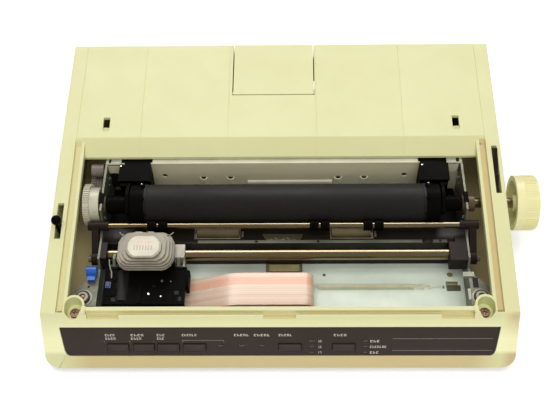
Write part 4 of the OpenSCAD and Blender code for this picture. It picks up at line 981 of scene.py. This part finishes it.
def addStrip(name, points, film):
    near, far = low("flat_cable").y, high("flat_cable").y
    rows = cableLook["rows"]
    outline = stripAlong(points, cableLook["thick"])
    count = len(outline)
    bm = bmesh.new()
    lines = [near + (far - near) * row / rows for row in range(rows + 1)]
    grid = [[bm.verts.new((x, y, z)) for x, z in outline] for y in lines]
    for first, second in zip(grid, grid[1:]):
        bridge(bm, first, second)
    for line in (grid[0], grid[-1]):
        for n in range(count // 2 - 1):
            bm.faces.new((line[n], line[n + 1], line[count - 2 - n], line[count - 1 - n]))
    piece = makePiece(name, bm, film, None, replaced=("flat_cable",))
    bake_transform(piece)


def buildCable():
    look = cableLook
    film = makeFilm()
    half = look["thick"] / 2
    bendX, bendR = look["bendX"], look["bendRadius"]
    midZ = look["lowZ"] + bendR
    topZ = midZ + bendR - half
    rampStart, rampEnd = look["rampX"]
    top = levelRun((look["startX"], rampStart), look["startZ"], 3)[:-1]
    top += easedRamp(look["rampX"], (look["startZ"], topZ), 26) + levelRun((rampEnd, bendX), topZ, 14, 1)
    addStrip("cable-top-run", top, film)
    bendLine = bendR - half
    turns = [math.pi * n / 18 for n in range(19)]
    bend = [(bendX + bendLine * math.sin(turn), midZ + bendLine * math.cos(turn)) for turn in turns]
    addStrip("cable-bend", bend, film)
    bottom = levelRun((bendX, look["endX"]), look["lowZ"] + half, 8)
    addStrip("cable-bottom-run", bottom, film)


buildCable()
print("flat cable laid")


# extension spring on the floor: a close coil, three open turns, then a hook and straight wires to the posts

springLook = {
    "height": 13.4, "fromLeft": 7.6, "fromRight": 17.5,
    "closePitch": 1.02, "closeRadius": 1.8, "closeWire": 0.36,
    "openLength": 6, "openTurns": 3, "openPitch": 2.4, "openRadius": 1.9,
    "wire": 0.4, "thinWire": 0.32, "sides": 10,
    "hook": ((0, 0, 1.7), (1.2, 0.5, 1.1), (3, 1.4, 0.4), (4.8, 0.9, 0), (5.6, -0.6, 0), (4.6, -1.5, 0),
             (3.2, -0.9, 0)),
    "rightWire": ((5.2, 0, 0), (9, 0.2, -0.1), (13.5, 0, 0)),
    "leftWire": ((0, 1.8, 0), (-1.6, 0.8, 0), (-3.4, 0, 0), (-7, 0, 0)),
    "postIn": 0.9, "postRadius": 0.8, "postOver": 0.5,
    "anchor": ((-71.4, 11.2), (-71.4, 12.0), (-70.2, 13.0), (-67.2, 13.0), (-66.2, 12.0), (-66.2, 11.2)),
    "anchorX": (134.4, 145.4)}
springWire = makeSurface("springWire", {
    "colour": tone(246, 242, 216), "patch": tone(228, 222, 192), "patchScale": 90, "metal": 0.1,
    "rough": 0.36, "roughSpread": 0.08, "grain": 0.1})


def coilPath(start, pitch, radius, sides, count):
    x, y, z = start
    points = []
    for n in range(count + 1):
        angle = 2 * math.pi * n / sides
        points.append((x + pitch * n / sides, y + radius * math.cos(angle), z + radius * math.sin(angle)))
    return points


def buildSpring():
    look = springLook
    foot, top = low("floor_spring"), high("floor_spring")
    y, z = (foot.y + top.y) / 2, look["height"]
    left = foot.x + look["fromLeft"]
    openX = top.x - look["fromRight"] - look["openLength"]
    sides = look["sides"]
    turns = int((openX - left) / look["closePitch"])
    bm = bmesh.new()
    path = coilPath((left, y, z), look["closePitch"], look["closeRadius"], sides, turns * sides)
    addTube(bm, path, look["closeWire"], sides=5)
    path = coilPath((openX, y, z), look["openPitch"], look["openRadius"], sides, look["openTurns"] * sides)
    addTube(bm, path, look["wire"], sides=6)
    end = path[-1][0]
    for wire, x, radius in (("hook", end, look["wire"]), ("rightWire", end, look["thinWire"]),
                            ("leftWire", left, look["thinWire"])):
        addTube(bm, [(x + dx, y + dy, z + dz) for dx, dy, dz in look[wire]], radius, sides=6)
    makePiece("floor-spring-coil", bm, springWire, "chassis", replaced=("floor_spring",))
    bm = bmesh.new()
    for x in (foot.x + look["postIn"], top.x - look["postIn"]):
        addRod(bm, "Z", (foot.z, z + look["postOver"]), (x, y), look["postRadius"], chamfer=0.15, steps=16)
    makePiece("floor-spring-posts", bm, castMetal, "chassis")
    bm = bmesh.new()
    addPrism(bm, look["anchor"], "X", look["anchorX"])
    makePiece("floor-spring-anchor", bm, zincFrame, "chassis", bevel=0.2)


buildSpring()
print("floor spring wound")


# bail rollers: two ribbed halves with a gap that shows the rod

bailRollerLook = {
    "bore": 2.6, "halfGap": 1.3, "bands": 4, "groove": 0.7, "slope": 0.25, "flat": (0.68, 0.8),
    "hub": (0.7, 1.5), "hubDepth": 1.1,
    "bodies": {"left_bail_roller": "bail_roller_left", "middle_bail_roller": "bail_roller_middle",
               "right_bail_roller": "bail_roller_right"}}


def buildBailRoller(node, body):
    look = bailRollerLook
    foot, top = low(node), high(node)
    x, y, z = middle(node)
    bore, radius = look["bore"], (top.z - foot.z) / 2
    inner = radius - look["groove"]
    bm = bmesh.new()
    for a, b in ((foot.x, x - look["halfGap"]), (x + look["halfGap"], top.x)):
        step = (b - a) / look["bands"]
        profile = [(bore, a)]
        for n in range(look["bands"]):
            left = a + n * step
            flatEnd, slopeEnd = (left + step * share for share in look["flat"])
            profile += [(inner, left), (radius, left + look["slope"]), (radius, flatEnd), (inner, slopeEnd)]
        profile += [(inner, b), (bore, b), (bore, a)]
        addSpun(bm, profile, "X", (y, z), steps=40)
    near, far = look["hub"]
    for span in ((x - far, x - near), (x + near, x + far)):
        addRing(bm, "X", span, (y, z), bore, radius - look["hubDepth"])
    makePiece(node.replace("_", "-") + "-ribbed", bm, blackMoulding, body, replaced=(node,))


for node, body in bailRollerLook["bodies"].items():
    buildBailRoller(node, body)


# front paper guide: frames of the pressure rollers, comb strip, latch with its spring, stops and front lip;
# heights are counted from the guide's top

guideLook = {
    "frames": ((-67.8, -33.2), (42.0, 74.1)), "frameWall": (0.7, 1.3), "frameEnds": (-36.7, -26.9),
    "frameBack": (-27.3, -26.7), "frameFront": (-36.9, -36.3), "frameZ": (-0.3, 0.7),
    "tabX": (2.4, 3.8), "tabY": (-35.1, -30.1), "tabZ": (-0.2, 0.9),
    "combStart": -69, "combPitch": 1.45, "combCount": 122,
    "toothWide": 0.5, "toothY": (-26.6, -24.0), "toothZ": (-0.1, 0.35),
    "latch": ((-11.3, -37.5), (16.5, -37.7), (18.6, -32.5), (-14.2, -32.3)), "latchZ": (-0.1, 0.5),
    "springs": ((-7.5, -38.0, 0.5), (-3.2, -36.6, -0.6), (2.6, -37.4, 0.4), (6.4, -36.4, -0.4)),
    "springPath": ((-1.4, -1, 0.3), (0, 0, 0.5), (1.4, 1, 0.3)), "springWire": 0.28,
    "springBar": ((-10.5, 12.5), (-38.2, -37.8), (-0.1, 0.4)),
    "stops": ((120, 3.2), (128, 2), (-84, 2.4), (30, 2), (-20, 2.6)),
    "stopY": (-40.6, -38.6), "stopZ": (-0.1, 0.6),
    "button": (118.7, -39.6), "buttonRadius": 2.6, "buttonZ": (-0.2, 0.9),
    "lip": ((-40.9, -0.2), (-40.9, 0.3), (-38.3, 0.55), (-38.3, -0.2)),
    "lipX": ((-66, 114.4), (122.6, 134.4))}
agedSteel = makeSurface("agedSteel", {
    "colour": tone(196, 180, 158), "patch": tone(142, 126, 104), "patchScale": 50, "metal": 0.7,
    "rough": 0.34, "roughSpread": 0.12, "grain": 0.2, "wear": tone(240, 230, 214), "wearShare": 0.9})
combBrown = makeSurface("combBrown", {
    "colour": tone(88, 70, 44), "patch": tone(64, 50, 32), "patchScale": 80, "rough": 0.4, "metal": 0.2,
    "grain": 0.2})
latchTan = makeSurface("latchTan", {
    "colour": tone(78, 73, 50), "patch": tone(62, 58, 42), "patchScale": 40, "rough": 0.4, "metal": 0.2,
    "grain": 0.2, "wear": tone(170, 160, 128)})
stripGreen = makeSurface("stripGreen", {
    "colour": tone(112, 116, 102), "patch": tone(58, 58, 48), "patchScale": 7, "stretch": (1, 0.2, 0.2),
    "metal": 0.2, "rough": 0.38, "roughSpread": 0.1, "grain": 0.15, "wear": tone(150, 150, 134),
    "wearShare": 0.6})


def dressFrontGuide():
    look = guideLook
    top = high("front_paper_guide").z
    deck = (0, 0, top)
    bm = bmesh.new()
    near, far = look["frameWall"]
    for a, b in look["frames"]:
        for x, y in (((a - far, a - near), look["frameEnds"]), ((b + near, b + far), look["frameEnds"]),
                     ((a - far, b + far), look["frameBack"]), ((a - far, b + far), look["frameFront"])):
            addBoxFrom(bm, deck, (x, y, look["frameZ"]))
        addBoxFrom(bm, deck, ([b + x for x in look["tabX"]], look["tabY"], look["tabZ"]))
    makePiece("roller-frames", bm, agedSteel, "chassis", bevel=0.12)
    bm = bmesh.new()
    for n in range(look["combCount"]):
        x = look["combStart"] + n * look["combPitch"]
        addBoxFrom(bm, deck, ((x, x + look["toothWide"]), look["toothY"], look["toothZ"]))
    makePiece("guide-comb", bm, combBrown, "chassis")
    bm = bmesh.new()
    addPrism(bm, look["latch"], "Z", [top + z for z in look["latchZ"]])
    makePiece("guide-latch-plate", bm, latchTan, "chassis", bevel=0.2)
    bm = bmesh.new()
    for x, y, turn in look["springs"]:
        path = [(x + dx, y + turn * share, top + dz) for dx, share, dz in look["springPath"]]
        addTube(bm, path, look["springWire"], sides=6)
    addBoxFrom(bm, deck, look["springBar"])
    makePiece("guide-latch-spring", bm, brightSteel, "chassis")
    bm = bmesh.new()
    for x, wide in look["stops"]:
        addBoxFrom(bm, deck, ((x, x + wide), look["stopY"], look["stopZ"]))
    buttonSpan = [top + z for z in look["buttonZ"]]
    addRod(bm, "Z", buttonSpan, look["button"], look["buttonRadius"], chamfer=0.3, steps=24)
    makePiece("guide-stops", bm, darkGuide, "chassis", bevel=0.2)
    bm = bmesh.new()
    for x in look["lipX"]:
        addPrism(bm, [(y, top + z) for y, z in look["lip"]], "X", x)
    makePiece("guide-front-lip", bm, stripGreen, "chassis", bevel=0.12)


dressFrontGuide()
print("front guide dressed")


# floor of the well: folds, rivets and the rim of a hole; heights are counted from the sheet's top

floorLook = {
    "folds": ((-60, -58.4, 58, 0.5), (90, -50.2, 92, 0.5), (147.2, -75, 0.5, 46), (-72, -76, 0.5, 30),
              (70, -94.6, 150, 0.5)), "foldZ": (-0.1, 0.22),
    "rivets": ((120, -92), (60, -92), (142, -90), (-60, -92), (36, -56)),
    "rivet": ((0, 0.5), (0.7, 0.45), (1.3, 0.1), (1.3, -0.1), (0, -0.1)),
    "hole": (138.2, -55.8), "holeRim": (2.4, 3.3), "holeZ": (-0.1, 0.16)}


def dressFloor():
    look = floorLook
    top = high("base_plate").z
    bm = bmesh.new()
    for x, y, wide, deep in look["folds"]:
        addBox(bm, around(x, wide / 2), around(y, deep / 2), [top + z for z in look["foldZ"]])
    makePiece("floor-folds", bm, zincFloor, "chassis", bevel=0.1)
    bm = bmesh.new()
    for spot in look["rivets"]:
        addSpun(bm, [(radius, top + z) for radius, z in look["rivet"]], "Z", spot, steps=20)
    makePiece("floor-rivets", bm, zincFrame, "chassis")
    bm = bmesh.new()
    addRing(bm, "Z", [top + z for z in look["holeZ"]], look["hole"], *look["holeRim"], steps=28)
    makePiece("floor-hole-rim", bm, zincFloor, "chassis")


dressFloor()


# side frames: rings on the shock mounts, holes drawn as near-black discs of painted shade, screws, and bright
# folded tabs at the back corners

frameLook = {
    "mountIn": 5.8, "mountY": -89.6,  # the rings: height, inner and outer radius, chamfer, steps
    "mountRings": (((33.0, 33.5), 6.0, 7.4, 0.15, 40), ((35.0, 35.6), 2.6, 4.4, 0.2, 32)),
    "mountScrewZ": 34.4, "mountScrew": (2.3, 1.0),
    "holes": ((-150.3, -73.2, 1.05), (-150.0, -79.6, 1.0), (-158.6, -93.4, 0.9), (162.2, -94, 0.9)),
    "holeZ": (32.7, 33.08), "slot": ((151.2, 155.6), (-81, -72), (32.7, 33.06)),
    "screwFaces": ((-142.7, 1), (148.8, -1)),  # x of each frame's inner face, and the way out of it
    "screws": ((18.2, 44.5, 1.9, 1.6), (14.6, 41.0, 1.1, 1.0), (-20, 42.0, 1.5, 1.2)),  # y, z, radius, height
    "backTabs": ((-139.9, -131.4), (137.6, 145.2), (-144.1, -141.9), (147.9, 150.2)),
    "backTabY": (24.2, 30.3), "backTabZ": (-0.1, 0.25),
    "earTabs": (((144.1, 153.1), (-71.4, -67.3), (31.9, 34.4)), ((146.6, 148.6), (-92, -82), (32.9, 33.6))),
    "rimIn": 3.8, "rim": (4.3, 5.9, 0.4, 40), "rimZ": (38.5, 39.9)}
# pale zinc of the blade, also used as painted light on the back plate's top edge
paleZincAndLitEdge = makeSurface("paleZincAndLitEdge", {
    "colour": tone(240, 236, 216), "patch": tone(222, 217, 194), "patchScale": 40, "metal": 0.1,
    "rough": 0.4, "roughSpread": 0.1, "grain": 0.15, "wear": tone(248, 246, 234)})
brightZinc = makeSurface("brightZinc", {
    "colour": tone(176, 178, 164), "patch": tone(148, 150, 134), "patchScale": 50, "metal": 0.2,
    "rough": 0.42, "roughSpread": 0.1, "gloss": 0.3, "grain": 0.15, "wear": tone(216, 216, 204)})


def addScrewHead(bm, axis, base, centre, radius, tall, out=1):
    # a domed head with a sunk middle
    outline = ((1, 0), (1, 0.55), (0.7, 0.95), (0.3, 1), (0.22, 0.6), (0, 0.6))
    profile = [(0, base)] + [(radius * across, base + out * tall * rise) for across, rise in outline]
    addSpun(bm, profile, axis, centre, steps=20)


def dressFrames():
    look = frameLook
    ringBm, copperBm = bmesh.new(), bmesh.new()
    for x in (low("grommets").x + look["mountIn"], high("grommets").x - look["mountIn"]):
        spot = (x, look["mountY"])
        for z, *sizes in look["mountRings"]:
            addRing(ringBm, "Z", z, spot, *sizes)
        addScrewHead(copperBm, "Z", look["mountScrewZ"], spot, *look["mountScrew"])
    makePiece("shock-mount-rings", ringBm, castMetal, "chassis")
    bm = bmesh.new()
    for x in (low("case_screws").x + look["rimIn"], high("case_screws").x - look["rimIn"]):
        addRing(bm, "Z", look["rimZ"], (x, middle("case_screws").y), *look["rim"])
    makePiece("corner-screw-rims", bm, caseBeige, "chassis")
    makePiece("shock-mount-screws", copperBm, copperScrew, "chassis")
    # holes and a slot drawn as near-black discs and a box: painted shade
    bm = bmesh.new()
    for x, y, radius in look["holes"]:
        addRod(bm, "Z", look["holeZ"], (x, y), radius, steps=20)
    addBox(bm, *look["slot"])
    makePiece("frame-hole-shade", bm, deepShade, "chassis")
    bm = bmesh.new()
    for x, out in look["screwFaces"]:
        for y, z, radius, tall in look["screws"]:
            addScrewHead(bm, "X", x, (y, z), radius, tall, out)
    makePiece("frame-screws", bm, brightSteel, "chassis")
    bm = bmesh.new()
    top = high("left_side_frame").z
    for x in look["backTabs"]:
        addBox(bm, x, look["backTabY"], [top + z for z in look["backTabZ"]])
    for spans in look["earTabs"]:
        addBox(bm, *spans)
    makePiece("frame-tabs", bm, brightZinc, "chassis", bevel=0.2)


dressFrames()
print("floor and side frames dressed")


# platen: near-black rings at its ends that paint the shade in the gaps beside it, and ribbed sleeves on its
# shaft

platenLook = {
    "ringOut": 1.7, "ringIn": 0.1, "ringDeep": 2, "ringOver": 0.14,
    "sleeves": ((-140.8, -125.3, 7.3), (133.7, 147.0, 6.4)), "sleeveBore": 4.2,
    "ribs": (0.3, 0.62), "ribHalf": 0.8, "ribOver": 0.5}


def dressPlaten():
    look = platenLook
    axis = (middle("platen_roller").y, middle("platen_roller").z)
    radius = high("platen_roller").z - axis[1]
    left, right = low("platen_roller").x, high("platen_roller").x
    # near-black rings of painted shade for the gaps between the platen and its pin wheels
    bm = bmesh.new()
    inner, outer = radius - look["ringDeep"], radius + look["ringOver"]
    addRing(bm, "X", (left - look["ringOut"], left + look["ringIn"]), axis, inner, outer, steps=64)
    addRing(bm, "X", (right - look["ringIn"], right + look["ringOut"]), axis, inner, outer, steps=64)
    makePiece("platen-end-shade-rings", bm, deepShade, "platen")
    bm = bmesh.new()
    for a, b, outer in look["sleeves"]:
        addRing(bm, "X", (a, b), axis, look["sleeveBore"], outer, chamfer=0.5, steps=40)
        for share in look["ribs"]:
            rib = around(a + (b - a) * share, look["ribHalf"])
            addRing(bm, "X", rib, axis, look["sleeveBore"], outer + look["ribOver"], chamfer=0.25, steps=40)
    makePiece("platen-shaft-sleeves", bm, blackMoulding, "platen", bevel=0.15)


dressPlaten()


# paper path beside and behind the platen: fingers, clips, screws, caps, shields and strips, with pale sheets
# of painted light on the flanges and the back plate's top edge, and near-black bores of painted shade
# the heights of covers, strips and caps are counted from the top of the side frames

pathLook = {
    "fingers": ((-123.7, -120.6), (129.4, 132.2)), "fingerRadii": (17.6, 12.6),
    "fingerTurns": (range(38, 151, 8), range(150, 29, -8)),  # in degrees, out and back
    "clips": (-128.6, 134.6),
    "clip": (((-3, 3), (6.8, 16.4), (49.4, 51.0)), ((-3, 3), (9.8, 11.2), (51.0, 52.0))),
    "frontScrews": (-112.5, 120.8), "frontScrewY": 3.6, "frontScrewUnder": 2.2, "frontScrew": (1.2, 1.4),
    "topScrews": (-131.0, 116.8), "topScrewY": 20.6, "topScrewUnder": 0.4, "topScrew": (0.9, 1.0),
    "covers": (-145.6, 147.8), "cover": ((0, 3.6), (-16.4, -5.8), (-1.6, 0.5)),
    "strips": (-144.4, 148.6), "strip": ((0, 1.9), (5.2, 22.8), (-0.5, 0.1)),
    "caps": ((-128.5, -107), (115.5, 137)),
    "cap": (((22.4, 30.4), (-0.95, 0.15)), ((23.2, 24.7), (-13, -0.9))),
    "shields": ((-141.8, -106), (114.5, 147)), "shield": (((-26, 21.5), (24, 25)), ((-26, -25), (16, 24))),
    "flanges": ((-142.5, -131.4), (136.0, 147.2)), "flangeY": (22.85, 23.05),
    "flangeFoot": 46.2, "flangeUnder": 1.4,
    "sheetEdge": ((-105.4, 113.8), (24.9, 30.5), (-0.1, 0.2)), "bladeX": (-27.5, 43.7),
    "blade": ((22.9, 27.2), (22.9, 32.4), (23.5, 33.2), (25.0, 33.2), (25.0, 26.5), (23.5, 26.5)),
    "bores": (-64.4, -41.8, 48.7, 70.5), "boreY": 24.9, "boreRadius": 2.3, "boreZ": (37.9, 38.1)}


def dressPaperPath():
    look = pathLook
    axis = (middle("platen_roller").y, middle("platen_roller").z)
    frameTop, guideTop = high("left_side_frame").z, high("left_paper_guide").z
    bm = bmesh.new()
    hook = [turned(axis, radius, degrees)
            for radius, turns in zip(look["fingerRadii"], look["fingerTurns"]) for degrees in turns]
    for x in look["fingers"]:
        addPrism(bm, hook, "X", x)
    makePiece("paper-guide-fingers", bm, blackMoulding, "chassis", bevel=0.4)
    bm = bmesh.new()
    for x in look["clips"]:
        for spans in look["clip"]:
            addBoxFrom(bm, (x, 0, 0), spans)
    makePiece("paper-guide-clips", bm, brownMoulding, "chassis", bevel=0.3)
    bm = bmesh.new()
    for x in look["frontScrews"]:
        spot = (x, guideTop - look["frontScrewUnder"])
        addScrewHead(bm, "Y", look["frontScrewY"], spot, *look["frontScrew"], out=-1)
    for x in look["topScrews"]:
        base = guideTop - look["topScrewUnder"]
        addScrewHead(bm, "Z", base, (x, look["topScrewY"]), *look["topScrew"])
    makePiece("paper-guide-screws", bm, brightSteel, "chassis")
    bm = bmesh.new()
    for x in look["covers"]:
        addBoxFrom(bm, (x, 0, frameTop), look["cover"])
    makePiece("frame-edge-covers", bm, blackMoulding, "chassis", bevel=0.4)
    bm = bmesh.new()
    for x in look["strips"]:
        addBoxFrom(bm, (x, 0, frameTop), look["strip"])
    makePiece("frame-edge-strips", bm, zincFrame, "chassis", bevel=0.15)
    bm = bmesh.new()
    for x in look["caps"]:
        for y, z in look["cap"]:
            addBoxFrom(bm, (0, 0, frameTop), (x, y, z))
    makePiece("paper-guide-caps", bm, blackMoulding, "chassis", bevel=0.2)
    bm = bmesh.new()
    for x in look["shields"]:
        for y, z in look["shield"]:
            addBox(bm, x, y, z)
    makePiece("wheel-shields", bm, blackMoulding, "chassis", bevel=0.3)
    # the pale sheet on the back plate's top edge is painted light; the blade below it is a bright strip of
    # its own
    bm = bmesh.new()
    addBoxFrom(bm, (0, 0, high("back_plate").z), look["sheetEdge"])
    addPrism(bm, look["blade"], "X", look["bladeX"])
    makePiece("back-plate-blade-and-lit-edge", bm, paleZincAndLitEdge, "chassis", bevel=0.15)
    # pale sheets over the frame flanges, brighter than the frames they cover: painted light
    bm = bmesh.new()
    for x in look["flanges"]:
        addBox(bm, x, look["flangeY"], (look["flangeFoot"], frameTop - look["flangeUnder"]))
    makePiece("frame-flange-lit-faces", bm, plateOlive, "chassis")
    # near-black half-discs of painted shade in the back plate's openings
    bm = bmesh.new()
    for x in look["bores"]:
        addPrism(bm, arcPoints((x, look["boreY"]), look["boreRadius"], 180, 360, 16), "Z", look["boreZ"])
    makePiece("back-plate-bore-shade", bm, deepShade, "chassis")


dressPaperPath()


# small ribbed roller outside the left frame

sideRollerLook = {
    "centre": (22, 51), "bore": 1.6, "span": (-156.0, -146.0), "ribs": 9, "pitch": 1.1,
    "rib": ((5.4, 0.15), (5.4, 0.7), (4.7, 0.8), (4.7, 1.05)),  # radius, and place within one pitch
    "pin": 1.55, "pinSpan": (-156.4, -143.9)}


def buildSideRoller():
    look = sideRollerLook
    start, end = look["span"]
    bore = look["bore"]
    profile = [(bore, start)]
    for n in range(look["ribs"]):
        profile += [(radius, start + n * look["pitch"] + place) for radius, place in look["rib"]]
    profile += [(bore, end), (bore, start)]
    bm = bmesh.new()
    addSpun(bm, profile, "X", look["centre"], steps=36)
    addRod(bm, "X", look["pinSpan"], look["centre"], look["pin"], chamfer=0.2, steps=20)
    makePiece("side-ribbed-roller", bm, greyAcetal, "chassis")


buildSideRoller()
print("paper path dressed")


# floor, light and camera

stageLook = {
    "paper": tone(246, 248, 255), "rough": 0.9, "gloss": 0.1,
    "glow": 0.3,  # how much the paper brightens where the camera sees it
    "halfWide": 3000, "front": -1500, "back": 1500, "bend": 400, "bendSteps": 12, "rise": 1600,
    "airColour": (1.0, 0.965, 0.89, 1), "air": 0.34,
    "target": (0, 0, 0.05),
    "lights": {  # place, size, share of full brightness, colour, whether it shows in glossy surfaces
        "keyLight": ((-0.1, 0.95, 1.25), (1.3, 0.4), 0.12, (1.0, 0.985, 0.95), True),
        "topLight": ((0, -0.25, 1.8), (1.2, 0.9), 0.42, (1.0, 0.985, 0.94), False),
        "frontLight": ((0.2, -1.2, 1.3), (1.4, 0.9), 0.34, (1.0, 0.98, 0.94), False),
        "shineLight": ((-0.1, 1.0, 1.3), (1.6, 0.8), 0.8, (1.0, 0.98, 0.94), True)},
    "shineOnly": ("shineLight",)}
cameraLook = {"down": 54.55, "yaw": -1.97, "roll": -1.84, "place": (-0.0014, -0.4600, 0.6758), "lens": 62.18,
              "sensor": 36, "near": 0.01}


def isSeen(tree):
    return tree.nodes.new("ShaderNodeLightPath").outputs["Is Camera Ray"]


def makeStage():
    look = stageLook
    paper = bpy.data.materials.new("studioPaper")
    paper.use_nodes = True
    tree = paper.node_tree
    shader = tree.nodes["Principled BSDF"]
    for name, value in (("Base Color", look["paper"]), ("Roughness", look["rough"]),
                        ("Specular IOR Level", look["gloss"]), ("Emission Color", (1, 1, 1, 1))):
        shader.inputs[name].default_value = value
    glow = spread(tree, isSeen(tree), (0.0, 1.0), (0.0, look["glow"]))
    tree.links.new(glow, shader.inputs["Emission Strength"])
    bm = bmesh.new()
    front, back, bend = look["front"], look["back"], look["bend"]
    side = [(front, 0), (back - bend, 0)]
    side += arcPoints((back - bend, bend), bend, -90, 0, look["bendSteps"])[1:] + [(back, look["rise"])]
    rings = [[bm.verts.new((x, y, z)) for y, z in side] for x in (-look["halfWide"], look["halfWide"])]
    for n in range(len(side) - 1):
        bm.faces.new((rings[0][n], rings[1][n], rings[1][n + 1], rings[0][n + 1]))
    mesh = bpy.data.meshes.new("studioSweep")
    bm.transform(Matrix.Scale(mm, 4))
    bm.to_mesh(mesh)
    bm.free()
    mesh.shade_smooth()
    mesh.materials.append(paper)
    sweep = bpy.data.objects.new("studioSweep", mesh)
    scene.collection.objects.link(sweep)


def makeAir():
    world = bpy.data.worlds.new("studioAir")
    scene.world = world
    world.use_nodes = True
    air = world.node_tree
    dim = air.nodes["Background"]
    dim.inputs["Color"].default_value = stageLook["airColour"]
    dim.inputs["Strength"].default_value = stageLook["air"]
    white = addNode(air, "ShaderNodeBackground", {"Color": (1, 1, 1, 1), "Strength": 1.0})
    pick = addNode(air, "ShaderNodeMixShader", {0: isSeen(air), 1: dim.outputs[0], 2: white.outputs[0]})
    air.links.new(pick.outputs[0], air.nodes["World Output"].inputs["Surface"])


def addAreaLight(name, place, size, share, colour, mirrored):
    # share: how much of the full brightness this light alone gives a white sheet that faces it at the object
    away = Vector(place) - Vector(stageLook["target"])
    light = bpy.data.lights.new(name, "AREA")
    light.shape = "RECTANGLE"
    light.size, light.size_y = size
    light.energy = math.pi ** 2 * away.length_squared * share
    light.color = colour
    holder = bpy.data.objects.new(name, light)
    holder.location = place
    holder.rotation_euler = (-away).to_track_quat("-Z", "Y").to_euler()
    holder.visible_glossy = mirrored
    holder.visible_diffuse = name not in stageLook["shineOnly"]
    scene.collection.objects.link(holder)


def placeCamera():
    look = cameraLook
    down, yaw, roll = (math.radians(look[name]) for name in ("down", "yaw", "roll"))
    ahead = Vector((math.sin(yaw) * math.cos(down), math.cos(yaw) * math.cos(down), -math.sin(down)))
    level = Vector((math.cos(yaw), -math.sin(yaw), 0))
    above = level.cross(ahead)
    right = math.cos(roll) * level + math.sin(roll) * above
    up = math.cos(roll) * above - math.sin(roll) * level
    lens = bpy.data.cameras.new("camera")
    lens.lens = look["lens"]
    lens.sensor_width = look["sensor"]
    lens.clip_start = look["near"]
    camera = bpy.data.objects.new("camera", lens)
    scene.collection.objects.link(camera)
    turn = Matrix((right, up, -ahead)).transposed().to_4x4()
    camera.matrix_world = Matrix.Translation(look["place"]) @ turn
    scene.camera = camera


makeStage()
makeAir()
for name, settings in stageLook["lights"].items():
    addAreaLight(name, *settings)
placeCamera()
scene.view_settings.view_transform = "Standard"
print("stage, light and camera ready")
